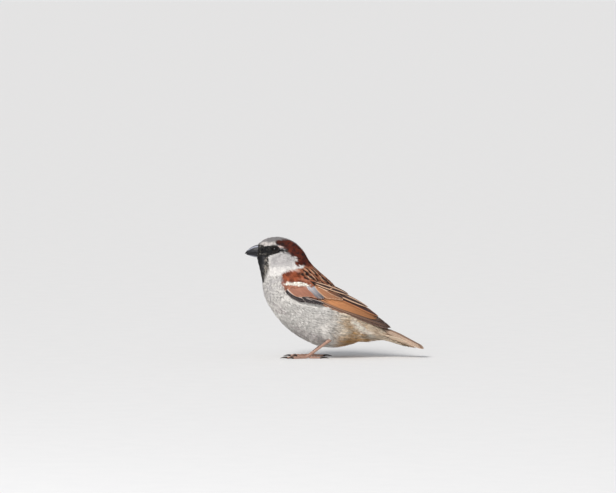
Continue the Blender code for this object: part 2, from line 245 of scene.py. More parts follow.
def smoothed(mesh, points, rounds):
    """Laplacian smoothing of vertex places."""
    a, b = read_rows(mesh.edges, "vertices", 2, int).T
    count = np.bincount(np.r_[a, b], minlength=len(points))[:, None]
    for _ in range(rounds):
        total = np.zeros_like(points)
        np.add.at(total, a, points[b])
        np.add.at(total, b, points[a])
        points = 0.5 * points + 0.5 * total / count
    return points


skin_mesh = body_blank()
surface = smoothed(skin_mesh, points_of(skin_mesh), SKIN_SMOOTHING)
calm = np.zeros(len(surface))  # the flank's feathers level the thigh, and the step behind the shoulder
for x, z, reach in CALM_SPOTS:
    apart = np.hypot(surface[:, 0] / MM - x, surface[:, 2] / MM - z)
    calm = np.maximum(calm, smooth_step(reach, 0.5 * reach, apart))
calm *= np.abs(surface[:, 1]) > CALM_OFF_MIDDLE
surface += (smoothed(skin_mesh, surface, CALMING) - surface) * calm[:, None]
move_points(skin_mesh, surface)
outward = normals_of(skin_mesh)
along, down, run = coat_place(surface)
brow = BROW_LIFT * smooth_step(4.2, 1.0, np.linalg.norm(one_sided(surface) / MM - BROW_RIDGE, axis=1))
surface = surface - outward * (depth_of_coat(surface, along) + CLOSE_CUTS - brow)[:, None]
move_points(skin_mesh, surface)
outward = unit(smoothed(skin_mesh, normals_of(skin_mesh), NORMAL_SMOOTHING))
skin = piece("skin", skin_mesh)


# ---------------------------------------------------------------------------------------------------
# The colour pattern of an adult male: grey crown, chestnut from behind the eye down the nape, black lores
# and bib, white cheek, streaked brown back, rufous shoulder, pale grey underside and buff vent.
# Painted light lies over it: painted shade in streaks over the breast and flank, deeper low on the
# belly and vent, and painted highlights down the bib, along the gape and over the bill's bristles.
# Skin and feathers take their colour from this one rule, so that bare places never show through.
# ---------------------------------------------------------------------------------------------------
def shade(red, green, blue):
    """A screen colour, 0 to 255, as the linear colour that a shader wants."""
    c = np.array((red, green, blue)) / 255
    return np.where(c <= 0.04045, c / 12.92, ((c + 0.055) / 1.055) ** 2.4)


CHEEK = (
    (-46.3, 71.0), (-44.9, 72.0), (-42.2, 72.8), (-39.9, 73.6), (-36.9, 74.4), (-33.0, 72.8),
    (-27.4, 70.4), (-26.4, 68.4), (-27.8, 66.2), (-25.0, 65.4), (-20.8, 65.9), (-21.5, 63.9),
    (-27.1, 62.2), (-35.3, 59.7), (-41.1, 57.6), (-46.5, 58.0), (-47.4, 61.2), (-46.0, 65.0),
)
BIB = (
    (-60.0, 70.7), (-50.9, 71.1), (-47.1, 71.8), (-46.3, 69.6), (-46.0, 62.5), (-47.8, 60.0),
    (-48.5, 56.7), (-49.5, 52.5), (-51.0, 51.1), (-60.0, 51.1),
)
MASK = (
    (-56.0, 79.0), (-50.9, 79.2), (-46.7, 78.4), (-41.8, 79.4), (-40.1, 78.4), (-39.4, 76.8),
    (-36.2, 76.2), (-32.7, 75.4), (-32.4, 74.1), (-36.7, 74.7), (-39.2, 73.8), (-43.4, 72.5),
    (-47.4, 71.2), (-50.9, 69.8), (-57.0, 69.8),
)
BROW = (
    (-53.4, 79.8), (-50.9, 81.3), (-45.3, 81.3), (-41.1, 81.2), (-41.1, 79.2), (-46.7, 78.2),
    (-50.9, 79.0),
)
CHEEK_SHADE = ((-45, 64), (-30, 64), (-27, 72), (-38, 74), (-45, 71))
CHEEK_SPECKS = ((-33.5, 72.5), (-28.0, 71.5), (-26.5, 68.0), (-29.0, 66.5), (-33.5, 68.5))
CHESTNUT = (
    (-41.3, 81.7), (-36.2, 82.4), (-32.7, 82.8), (-29.9, 88.0), (-20.0, 86.0), (-12.0, 76.0),
    (-9.0, 67.0), (-18.0, 64.0), (-22.2, 65.6), (-26.4, 64.8), (-27.8, 66.2), (-26.4, 68.4),
    (-27.1, 70.9), (-30.6, 72.1), (-32.7, 74.6), (-34.8, 76.8), (-39.0, 79.4), (-41.1, 80.0),
)
BRISTLES = ((-55.0, 78.6), (-51.0, 79.2), (-50.2, 76.8), (-55.0, 76.2))
EYE_SPOT = ((-39.9, 78.9), (-38.3, 78.8), (-35.6, 77.9), (-35.6, 77.2), (-38.0, 77.5), (-39.9, 78.2))
GAPE = ((-54.0, 73.0), (-50.0, 73.4), (-47.2, 73.9), (-46.8, 73.0), (-50.0, 72.3), (-54.0, 72.3))
SHOULDER = (
    (-37.0, 60.5), (-33.4, 61.7), (-27.1, 61.4), (-23.6, 58.6), (-19.0, 55.6), (-16.0, 52.0),
    (-18.0, 47.0), (-34.0, 47.0), (-37.0, 53.0),
)
WING_BAR = (
    (-36.0, 52.6), (-33.0, 53.9), (-27.0, 54.4), (-22.6, 53.8), (-16.6, 51.6), (-18.0, 50.8),
    (-24.0, 51.2), (-30.0, 51.5), (-35.2, 51.8),
)
COVERT_CORNER = ((-26.0, 56.0), (-20.0, 57.0), (-15.0, 53.0), (-19.0, 53.2))
WING_LOW = (  # x and height of the lower edge of the folded wing
    (-38.0, 48.0), (-34.0, 45.8), (-18.0, 39.8), (-8.0, 38.0), (5.0, 33.7), (15.0, 29.7),
    (25.0, 25.9), (39.0, 21.4),
)
WING_INNER = ((-18.0, 12.5), (-8.0, 9.0), (5.0, 6.2), (15.0, 3.4), (25.0, 2.5))  # x and its upper edge's y
SCAPULARS = (
    (-27.6, 61.9), (-24.0, 63.8), (-20.4, 65.0), (-14.0, 67.0), (-6.0, 58.0), (-12.0, 51.5),
    (-22.2, 55.8), (-25.5, 59.2),
)
BREAST_SHADOWS = (
    ((-31.0, 22.5), (-22.0, 21.5), (-6.0, 14.0), (-10.0, 11.0), (-27.0, 16.0)),
    ((-44.5, 38.5), (-40.0, 37.5), (-30.0, 31.5), (-32.0, 29.0), (-41.0, 32.0)),
)
BREAST_FLECKS = (
    (-52.0, 57.0), (-47.0, 58.0), (-31.0, 58.0), (-31.0, 46.0), (-40.0, 36.0), (-46.0, 38.0),
    (-52.0, 46.0),
)
VENT_STREAK_TOP = np.array([[13.4], [25.6]])
VENT_STREAK_RUN = np.array([11.6, -9.6])
VENT = (
    (4.0, 26.0), (14.0, 28.5), (19.1, 27.5), (24.0, 19.8), (22.0, 8.0), (-1.9, 4.0), (7.2, 13.2),
    (10.4, 19.8),
)

CROWN_GREY = shade(146, 142, 142)
BROW_PALE = shade(212, 205, 200)
CHESTNUT_DARK = shade(84, 29, 17)
CHESTNUT_WARM = shade(124, 56, 32)
BLACK = shade(17, 17, 20)
MASK_BROWN = shade(74, 70, 62)
BIB_PAINTED_SHEEN = shade(66, 66, 70)
BIB_FRINGE = shade(178, 170, 160)
CHEEK_WHITE = shade(238, 234, 230)
CHEEK_GREY = shade(182, 178, 178)
CHEEK_SPECK = CHEEK_GREY * 0.4
BREAST_PALE = shade(232, 229, 223)
BREAST_SHADOW = shade(204, 197, 193)
# painted shade, darker than BREAST_SHADOW, for the two BREAST_SHADOWS patches
BREAST_DEEP_SHADE = BREAST_SHADOW * (0.66, 0.61, 0.64)
BREAST_FLECK = BREAST_SHADOW * (0.40, 0.40, 0.42)
BELLY_PALE = shade(242, 236, 229)
FLANK_BUFF = shade(214, 199, 178)
VENT_BUFF = shade(190, 138, 70)
VENT_WHITE = shade(255, 238, 220)
FLANK_LIGHT = shade(226, 204, 174)
VENT_SHADE = shade(180, 132, 72)
TAIL_COVERT_BUFF = shade(228, 208, 184)
TAIL_COVERT_BROWN = shade(172, 136, 108)
FACE_PAINTED_HIGHLIGHT = shade(138, 132, 124)
EYE_SPOT_PALE = shade(222, 198, 190)
BACK_BUFF = shade(172, 108, 76)
BACK_RUFOUS = shade(138, 76, 50)
BACK_BLACK = shade(38, 25, 22)
BACK_STREAK_PALE = shade(216, 182, 152)
RUMP_GREY = shade(142, 122, 100)
SHOULDER_RUFOUS = shade(146, 74, 44)
SHOULDER_DARK = shade(92, 40, 24)
BAR_WHITE = shade(244, 236, 224)
COVERT_RUFOUS = shade(174, 116, 92)


def within(x, z, outline, soft):
    """1 inside an outline of the side view, 0 outside, and soft millimetres wide between them."""
    nearest = np.full(x.shape, 1e9)
    inside = np.zeros(x.shape, bool)
    for (ax, az), (bx, bz) in zip(outline, outline[1:] + outline[:1]):
        t = np.clip(((x - ax) * (bx - ax) + (z - az) * (bz - az)) / ((bx - ax) ** 2 + (bz - az) ** 2), 0, 1)
        nearest = np.minimum(nearest, np.hypot(x - ax - t * (bx - ax), z - az - t * (bz - az)))
        crosses = (az > z) != (bz > z)
        inside ^= crosses & (x < (bx - ax) * (z - az) / np.where(bz == az, 1e-9, bz - az) + ax)
    return smooth_step(-0.5 * soft, 0.5 * soft, np.where(inside, nearest, -nearest))


def ripple(x, z, size):
    """Slow, seeded unevenness over the side view, between -1 and 1."""
    return (
        np.sin(x / size * 2.1 + 1.3 * np.sin(z / size * 1.7 + 0.4))
        + np.sin(z / size * 2.6 + 1.1 * np.sin(x / size * 1.3 + 2.0))
    ) / 2


def flank_streaks(x, z):
    """Long soft streaks of light and shade that run back and down over the side of the body, -1 to 1."""
    across = z + 0.36 * x - 0.003 * x * x + 0.7 * np.sin(0.31 * x + 0.9)
    fine = np.sin(2.3 * across + 1.4 * np.sin(0.26 * x + 0.5 * across))
    fine = fine + np.sin(4.1 * across + 1.6 * np.sin(0.37 * x))
    return 0.5 * fine * (0.65 + 0.35 * ripple(x, z, 5.0))


def wing_low(x):
    """The height of the folded wing's lower edge at each x."""
    return np.interp(x, *zip(*WING_LOW))


def back_share(x, z, along, down):
    """How far each point belongs to the streaked back, and how far it is above the folded wing's edge."""
    low = wing_low(x)
    above = np.maximum(smooth_step(low - 0.5, low + 2.0, z), smooth_step(36.0, 40.0, x))
    back = smooth_step(0.46, 0.36, down) * smooth_step(3.35, 3.75, along)
    return np.maximum(back, within(x, z, SCAPULARS, 1.2) * smooth_step(3.0, 3.3, along)) * above, above


def markings_and_painted_light(points, along, down):
    """The colour of the coat at each point, in linear light, with its painted shade and painted highlights.
    Later tones lie over earlier ones.
    """
    x, y, z = points[:, 0] / MM, np.abs(points[:, 1]) / MM, points[:, 2] / MM
    colour = np.tile(BREAST_PALE, (len(x), 1))

    def lay(tone, mask):
        nonlocal colour
        colour = colour + (np.asarray(tone) - colour) * np.clip(mask, 0, 1)[:, None]

    uneven = ripple(x, z, 2.2)
    lines = flank_streaks(x, z)
    # the underside: breast, flank, belly, and the buff vent with its one pale streak
    lay(BREAST_SHADOW, 0.30 + 0.10 * ripple(x, z, 4.5) + 0.46 * lines)
    lay(BELLY_PALE, smooth_step(4.2, 5.4, along) * smooth_step(0.3, 0.6, down) * 0.8)
    # painted shade: darker streaks over the lower breast and belly, where they turn away from the light
    for shadow in BREAST_SHADOWS:
        lay(BREAST_DEEP_SHADE, within(x, z, shadow, 4.0) * np.clip(0.30 + 0.9 * lines, 0, 0.9))
    lay(FLANK_BUFF, smooth_step(4.6, 6.2, along) * smooth_step(0.95, 0.45, down) * 0.55)
    lay(FLANK_LIGHT, smooth_step(-5.0, 11.0, x) * (0.75 + 0.2 * lines))
    lay(VENT_BUFF, within(x, z, VENT, 4.0) * np.clip(0.42 + 0.50 * lines + 0.2 * uneven, 0, 0.95))
    low_vent = smooth_step(-3.0, 4.0, x) * smooth_step(18.5, 12.0, z)
    lay(VENT_SHADE, low_vent * (0.65 + 0.35 * lines) * smooth_step(34.0, 24.0, x))
    lay(TAIL_COVERT_BUFF, smooth_step(20.0, 26.0, x) * smooth_step(0.45, 0.6, down) * 0.8)
    brown = smooth_step(22.0, 30.0, x) * np.clip(0.30 + 0.45 * lines, 0, 1)
    lay(TAIL_COVERT_BROWN, brown * smooth_step(0.9, 0.5, down))
    from_top = np.stack([x, z]) - VENT_STREAK_TOP
    share = np.clip((VENT_STREAK_RUN @ from_top) / np.sum(VENT_STREAK_RUN**2), 0, 1)
    streak = np.hypot(*(from_top - share * VENT_STREAK_RUN[:, None]))
    lay(VENT_WHITE, smooth_step(3.6, 1.2, streak + 0.4 * lines))
    flecks = smooth_step(0.1, 0.8, ripple(x, z, 0.8)) * within(x, z, BREAST_FLECKS, 4.0)
    lay(BREAST_FLECK, 0.8 * flecks)
    # the back and the rump, and the small coverts of the shoulder with the white bar under them
    back, over_wing = back_share(x, z, along, down + 0.05 * uneven)
    lay(BACK_BUFF, back)
    lay(BACK_RUFOUS, back * (0.35 + 0.45 * ripple(x, z, 3.0)))
    lay(RUMP_GREY, smooth_step(5.1, 5.9, along) * smooth_step(0.62, 0.45, down) * over_wing)
    shoulder = within(x, z, SHOULDER, 1.6) * smooth_step(12.0, 14.5, y)
    lay(SHOULDER_RUFOUS, shoulder)
    lay(SHOULDER_DARK, shoulder * smooth_step(0.0, 0.7, uneven) * 0.75)
    lay(COVERT_RUFOUS, shoulder * smooth_step(51.6, 50.8, z))
    lay(COVERT_RUFOUS, 0.7 * within(x, z, COVERT_CORNER, 2.0) * (y > 11))
    lay(BAR_WHITE, within(x, z + 0.25 * uneven, WING_BAR, 0.9) * smooth_step(11.0, 13.5, y))
    # the head: grey crown and pale cheek, chestnut nape and brow, then the black mask and bib
    under_eye = smooth_step(3.3, 2.9, along) * smooth_step(0.5, 0.6, down)
    lay(CHEEK_GREY, under_eye * np.clip(0.35 + 0.5 * uneven, 0, 1))
    lay(CROWN_GREY, smooth_step(2.9, 2.5, along) * smooth_step(0.42, 0.30, down))
    cheek = within(x, z, CHEEK, 0.9)
    lay(CHEEK_WHITE, cheek)
    lay(CHEEK_GREY, cheek * within(x, z, CHEEK_SHADE, 4.0) * 0.8)
    lay(CHEEK_SPECK, within(x, z, CHEEK_SPECKS, 2.0) * smooth_step(0.0, 0.5, ripple(x, z, 0.8)) * 0.65)
    nape = within(x, z, CHESTNUT, 1.2) * smooth_step(1.2, 3.4, y + 1.5 * smooth_step(80, 70, z))
    lay(CHESTNUT_DARK, nape)
    lay(CHESTNUT_WARM, nape * (0.3 + 0.4 * uneven))
    lay(BLACK, nape * smooth_step(0.1, 0.8, ripple(x + 3.0, z, 1.3)) * 0.8)
    lay(BLACK, nape * smooth_step(6.5, 2.5, np.hypot(x + 38.5, z - 78.5)) * 0.55)
    lay(BROW_PALE, within(x, z, BROW, 1.0) * smooth_step(2.5, 5.0, y) * 0.95)
    mask = within(x, z, MASK, 0.8) * smooth_step(3.6, 3.2, along)
    lay(BLACK, mask)
    lay(MASK_BROWN, mask * smooth_step(0.15, 0.8, ripple(x, z, 0.7)) * 0.75)
    lay(BLACK, within(x, z, BIB, 1.4 + 0.8 * np.abs(uneven)))
    bib = within(x, z, BIB, 1.4)
    # painted highlight: a paler grey sheen down the middle of the black bib
    lay(BIB_PAINTED_SHEEN, bib * smooth_step(1.6, 0.4, np.abs(x + 49.6)) * smooth_step(59.0, 62.0, z) * 0.8)
    behind = smooth_step(-50.2, -48.2, x)
    flecks = smooth_step(0.0, 0.45, ripple(x, z, 0.6)) * behind * smooth_step(71.5, 69.5, z)
    lay(BLACK, bib * behind * 0.6)
    lay(BIB_FRINGE, bib * flecks * 0.85)
    # painted highlights: a pale line of reflected light along the gape, and the bill's pale highlight carried
    # on over the bristles at its base
    lay(FACE_PAINTED_HIGHLIGHT, within(x, z, GAPE, 0.8) * smooth_step(-0.4, 0.5, ripple(x, z, 0.7)) * 0.6)
    lay(FACE_PAINTED_HIGHLIGHT, within(x, z, BRISTLES, 1.6) * smooth_step(-0.2, 0.6, ripple(x, z, 0.8)) * 0.55)
    lay(EYE_SPOT_PALE, within(x, z, EYE_SPOT, 0.5))
    return np.clip(colour, 0.0, 1.0)


def paint_points(mesh, name, colours):
    """Stores one colour for each vertex, under a name that a finish reads."""
    layer = mesh.color_attributes.new(name, "FLOAT_COLOR", "POINT")
    rgba = np.ones((len(colours), 4), np.float32)
    rgba[:, :3] = colours
    layer.data.foreach_set("color", rgba.ravel())


def store(mesh, name, kind, values):
    """Stores a named attribute with one value for each vertex."""
    layer = mesh.attributes.new(name, kind, "POINT")
    layer.data.foreach_set("vector" if kind == "FLOAT_VECTOR" else "value", np.ravel(values))


class Term:
    """An output in a node tree. Numbers and outputs are combined with ordinary operators."""

    def __init__(self, tree, socket):
        self.tree, self.socket = tree, socket

    def __add__(self, other):
        return self.tree.maths("ADD", self, other)

    def __sub__(self, other):
        return self.tree.maths("SUBTRACT", self, other)

    def __rsub__(self, other):
        return self.tree.maths("SUBTRACT", other, self)

    def __mul__(self, other):
        return self.tree.maths("MULTIPLY", self, other)

    def __truediv__(self, other):
        return self.tree.maths("DIVIDE", self, other)

    def __rtruediv__(self, other):
        return self.tree.maths("DIVIDE", other, self)

    def __pow__(self, other):
        return self.tree.maths("POWER", self, other)

    def __abs__(self):
        return self.tree.maths("ABSOLUTE", self)

    __radd__, __rmul__ = __add__, __mul__


class Tree:
    """A node tree being built: node() adds a node, sets it up, and gives back one of its outputs."""

    def __init__(self, tree):
        self.tree = tree

    def node(self, kind, settings=None, sockets=None, output=0):
        made = self.tree.nodes.new(kind)
        for name, value in (settings or {}).items():
            if name == "stops":
                ramp = made.color_ramp.elements
                while len(ramp) < len(value):
                    ramp.new(0.5)
                for stop, (place, colour) in zip(ramp, value):
                    stop.position, stop.color = place, (*colour, 1.0)
            else:
                setattr(made, name, value)
        for key, value in (sockets or {}).items():
            if isinstance(value, Term):
                self.tree.links.new(value.socket, made.inputs[key])
            else:
                made.inputs[key].default_value = value
        return Term(self, made.outputs[output])

    def blend(self, factor, first, second, mode="MIX"):
        """One colour mixed into another; each is a socket or three numbers."""
        first, second = (tone if isinstance(tone, Term) else (*tone, 1.0) for tone in (first, second))
        return self.node(
            "ShaderNodeMix", {"data_type": "RGBA", "blend_type": mode}, {0: factor, 6: first, 7: second}, 2
        )

    def maths(self, operation, *terms, clamp=False):
        """A sum on numbers; clamp keeps its result between 0 and 1."""
        settings = {"operation": operation, "use_clamp": clamp}
        return self.node("ShaderNodeMath", settings, dict(enumerate(terms)))

    def place(self):
        """The place on the piece, in object coordinates."""
        return self.node("ShaderNodeTexCoord", output=3)

    def vector(self, *numbers):
        return self.node("ShaderNodeCombineXYZ", None, dict(enumerate(numbers)))

    def parts(self, name):
        """The three numbers of a vector that is stored on the mesh."""
        vector = self.node("ShaderNodeAttribute", {"attribute_name": name}, output=1)
        first = self.node("ShaderNodeSeparateXYZ", None, {0: vector})
        return [Term(self, first.socket.node.outputs[i]) for i in range(3)]

    def painted(self, name):
        """A colour that is stored on the mesh."""
        return self.node("ShaderNodeAttribute", {"attribute_name": name}, output=0)

    def stored(self, name):
        """A number that is stored on the mesh."""
        return self.node("ShaderNodeAttribute", {"attribute_name": name}, output=2)

    def noise(self, place, scale, detail, roughness=0.5):
        sockets = {"Vector": place, "Scale": scale, "Detail": detail, "Roughness": roughness}
        return self.node("ShaderNodeTexNoise", None, sockets)

    def cells(self, place, scale, feature="F1"):
        sockets = {"Vector": place, "Scale": scale}
        return self.node("ShaderNodeTexVoronoi", {"feature": feature}, sockets)

    def bump(self, strength, depth, height, **more):
        sockets = {"Strength": strength, "Distance": depth, "Height": height, **more}
        return self.node("ShaderNodeBump", None, sockets)


def finish_of(name, constants=None):
    """A new material: its tree, and the Principled shader with its constant sockets set."""
    made = bpy.data.materials.new(name)
    made.use_nodes = True
    tree = Tree(made.node_tree)
    shader = made.node_tree.nodes["Principled BSDF"]
    for socket, value in (constants or {}).items():
        shader.inputs[socket].default_value = value
    return made, tree, shader


def drive(tree, shader, **links):
    """Links terms to the shader's sockets; base_color stands for Base Color, and so on."""
    for name, term in links.items():
        tree.tree.links.new(term.socket, shader.inputs[name.replace("_", " ").title()])


def down_finish():
    """Skin under the plumage, seen only as down between feathers."""
    made, tree, shader = finish_of("down", {"Roughness": 0.9, "Specular IOR Level": 0.15})
    fluff = tree.noise(tree.place(), 1400.0, 3.0)
    colour = tree.blend(1.0, tree.painted("coat"), fluff * 0.4 + 0.68, "MULTIPLY")
    drive(tree, shader, base_color=colour, normal=tree.bump(0.6, 0.0003, fluff))
    return made


paint_points(skin_mesh, "coat", markings_and_painted_light(surface, along, down))
skin_mesh.materials.clear()
skin_mesh.materials.append(down_finish())
skin_mesh.shade_smooth()
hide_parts(*FLESH)
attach(skin, "root")


# ---------------------------------------------------------------------------------------------------
# The contour feathers, which clothe the body. Each is a small solid vane, split at its edge into barbs,
# rooted in the skin and lying back over the next. They are set tract by tract, smallest on the face.
# ---------------------------------------------------------------------------------------------------
HIP_TO_ANKLE = (np.array((-4.4, 15.3, 17.0)) * MM, np.array((-2.4, 14.9, 14.0)) * MM)
THIGH_REACH = 3.6 * MM
HANG = np.array((1.0, 0.0, -0.02))  # how the feathers under the vent fill the hollow before the tail
SCAPULAR_EDGE = (-24.0, 54.6, -0.32)  # x, z and slope of the line under the scapulars, in the side view
BARB_SECTIONS = ((0.10, 0.75), (0.52, 1.0), (0.82, 0.62))  # along a clump of barbs: place, share of its width
PLUME_KINDS = {  # barb clumps, spread, clump half width, rise at the root, fall to the tip, ridge, raggedness
    "tiny": (4, 0.34, 0.15, 0.22, 0.09, 0.024, 0.14),
    "silk": (7, 0.46, 0.100, 0.16, 0.07, 0.012, 0.34),
    "long": (9, 0.44, 0.092, 0.088, 0.034, 0.006, 0.50),
    "vane": (7, 0.38, 0.115, 0.17, 0.09, 0.014, 0.12),
}
PLUME_VARIANTS = 6
TRACTS = {  # number, kind, length, width, spacing in millimetres, and ruffle in radians
    "face": (1, "tiny", 1.9, 0.95, 0.46, 0.15),
    "crown": (2, "silk", 3.0, 1.4, 0.74, 0.11),
    "cheek": (3, "silk", 3.0, 1.4, 0.72, 0.13),
    "throat": (4, "silk", 3.2, 1.5, 0.78, 0.14),
    "breast_left": (5, "long", 5.8, 1.9, 0.84, 0.09),
    "breast_right": (6, "long", 5.8, 1.9, 0.84, 0.09),
    "belly_left": (7, "long", 7.2, 2.0, 0.86, 0.10),
    "belly_right": (8, "long", 7.2, 2.0, 0.86, 0.10),
    "mantle": (9, "vane", 5.6, 2.8, 1.2, 0.06),
    "rump": (10, "long", 6.5, 2.8, 1.2, 0.08),
    "vent": (11, "long", 7.0, 2.6, 1.1, 0.06),
    "shoulder": (12, "vane", 3.4, 2.2, 0.92, 0.07),
}
STRAY = {  # how far a feather may take its colour from beside its place, in millimetres
    "face": 0.22, "crown": 0.5, "cheek": 0.45, "throat": 0.5, "breast": 0.8, "belly": 0.9, "mantle": 0.4,
    "rump": 0.8, "vent": 0.9, "shoulder": 0.35,
}
BACK_ROW = 3.0  # the width of one streak on the back
TUFT_PATCH = 0.003  # the side of one feather's patch on the map
BARE_BILL = 0.9 * MM  # how far round the bill no feather stands
BRISTLED = 2.1 * MM  # and how far the bristles reach
WING_ROOT = 2.6 * MM  # skin this close to the shoulder's solid lies under the folded wing
UNDER_WING = 8.0 * MM  # skin this deep under the long vanes' solids grows no feathers,
BARE_UNDER_WING = 1.0  # down to this far below the wing's lower edge, in millimetres


def closed_mesh(name, verts, faces):
    """A smooth mesh of closed shells, with all their faces turned outwards."""
    mesh = bpy.data.meshes.new(name)
    mesh.from_pydata(verts, [], faces)
    bm = bmesh.new()
    bm.from_mesh(mesh)
    bmesh.ops.recalc_face_normals(bm, faces=bm.faces)
    bm.to_mesh(mesh)
    bm.free()
    mesh.shade_smooth()
    return mesh


def ring_faces(first, rows, size):
    """The faces between rows of closed rings of size points, which are numbered from first on."""
    rings = np.arange(first, first + rows * size).reshape(rows, size)
    after = np.roll(rings, -1, axis=1)
    return np.stack([rings[:-1], after[:-1], after[1:], rings[1:]], -1).reshape(-1, 4).tolist()


def plume_mesh(kind, seed):
    """One feather along +X, a unit long: clumps of barbs that spread from the shaft, each a closed blade."""
    clumps, spread, half_width, rise, fall, ridge, ragged = PLUME_KINDS[kind]
    dice = np.random.default_rng(seed)
    verts, faces, vane = [], [], []
    for place in np.linspace(-1, 1, clumps):
        length = 1.0 - 0.20 * place**2 + dice.uniform(-ragged, 0.06)
        sway = dice.uniform(-0.06, 0.06)
        lift = dice.uniform(-0.012, 0.016) - 0.035 * abs(place)
        first = len(verts)
        for share, wide in (*BARB_SECTIONS, (1.0, 0.0)):
            x = length * share
            y = spread * place * share**0.7 + sway * share**2
            z = rise * x - fall * x * x + lift * share
            w = half_width * wide
            if w:
                verts += [(x, y - w, z), (x, y + w, z), (x, y, z + ridge)]
                vane += [(place - w, share, place), (place + w, share, place), (place, share, place)]
            else:
                verts.append((x, y, z))
                vane.append((place, share, place))
        last, tip = len(verts) - 4, len(verts) - 1
        faces.append((first, first + 2, first + 1))
        faces += ring_faces(first, len(BARB_SECTIONS), 3)
        faces += [(last, last + 1, tip), (last + 1, last + 2, tip), (last + 2, last, tip)]
    mesh = closed_mesh(kind, verts, faces)
    store(mesh, "vane", "FLOAT_VECTOR", vane)
    return mesh


def tract_numbers(points, along, down):
    """The number of the tract that each point of the skin belongs to; 0 stays bare."""
    x, y, z = points[:, 0] / MM, points[:, 1] / MM, points[:, 2] / MM
    left = y < 0
    tract = np.zeros(len(x), int)

    def put(name, where):
        tract[where] = TRACTS[name][0]

    put("belly_left", left)
    put("belly_right", ~left)
    put("breast_left", (along < 4.75) & left)
    put("breast_right", (along < 4.75) & ~left)
    put("vent", along > 6.2)
    put("rump", (along > 5.3) & (down < 0.5))
    put("mantle", (down < 0.44) & (along > 3.5) & (along < 5.3) & (z > wing_low(x) + 1.5))
    put("cheek", (along < 3.5) & (within(x, z, SCAPULARS, 0.1) < 0.5))
    put("crown", (along < 3.7) & (down < 0.46))
    put("throat", (along < 3.9) & (down > 0.84))
    bill, eye = from_face(points)
    put("face", (bill < 8.5) | (eye < 5.2))
    tract[eye < 2.8] = 0
    tract[(x > 46.0) | ((x > 44.0) & (z > np.interp(x, (44.0, 53.0), (13.6, 9.6))))] = 0
    return tract


def shoulder_tracts(points, tract, on_shoulder):
    """On the folded wing only its small coverts and the scapulars over them are set tract by tract."""
    x, z = points[:, 0] / MM, points[:, 2] / MM
    corner, level, slope = SCAPULAR_EDGE
    small = (within(x, z, SHOULDER, 0.1) > 0.5) & (z > 52.0)
    above = z > level + slope * (x - corner)
    tract[on_shoulder & (z > wing_low(x) + 0.6) & (x > -35.0)] = 0
    tract[on_shoulder & small] = TRACTS["shoulder"][0]
    tract[on_shoulder & above & (x > corner) & ~small] = TRACTS["mantle"][0]
    tract[on_shoulder & (z > 60.8) & ~small] = TRACTS["mantle"][0]
    return tract


def under_solid(points, outward, names, reach):
    """Whether the outside of some solids lies over each point, within reach."""
    tree = node_surfaces(names)
    return np.array([
        tree.ray_cast(Vector(p), Vector(n), reach)[0] is not None for p, n in zip(points, outward)
    ])


def lie_vectors(points, outward, run):
    """The direction of the coat at each point, in the skin."""
    flow = np.stack([run[:, 0], np.zeros(len(run)), run[:, 1]], 1)
    hip, ankle = HIP_TO_ANKLE
    from_hip = one_sided(points) - hip
    share = np.clip(from_hip @ (ankle - hip) / np.sum((ankle - hip) ** 2), 0, 1)
    apart = np.linalg.norm(from_hip - share[:, None] * (ankle - hip), axis=1)
    flank = smooth_step(-40.0, -26.0, points[:, 0] / MM) * smooth_step(8.0, 11.0, np.abs(points[:, 1]) / MM)
    flow = unit(flow + 0.5 * flank[:, None] * np.array((1.0, 0.0, 0.0)))
    leg = smooth_step(1.3 * THIGH_REACH, 0.7 * THIGH_REACH, apart)[:, None]
    flow = flow * (1 - leg) + leg * unit((ankle - hip) * (1, 0, 1))
    return unit(flow - outward * np.sum(flow * outward, axis=1, keepdims=True))


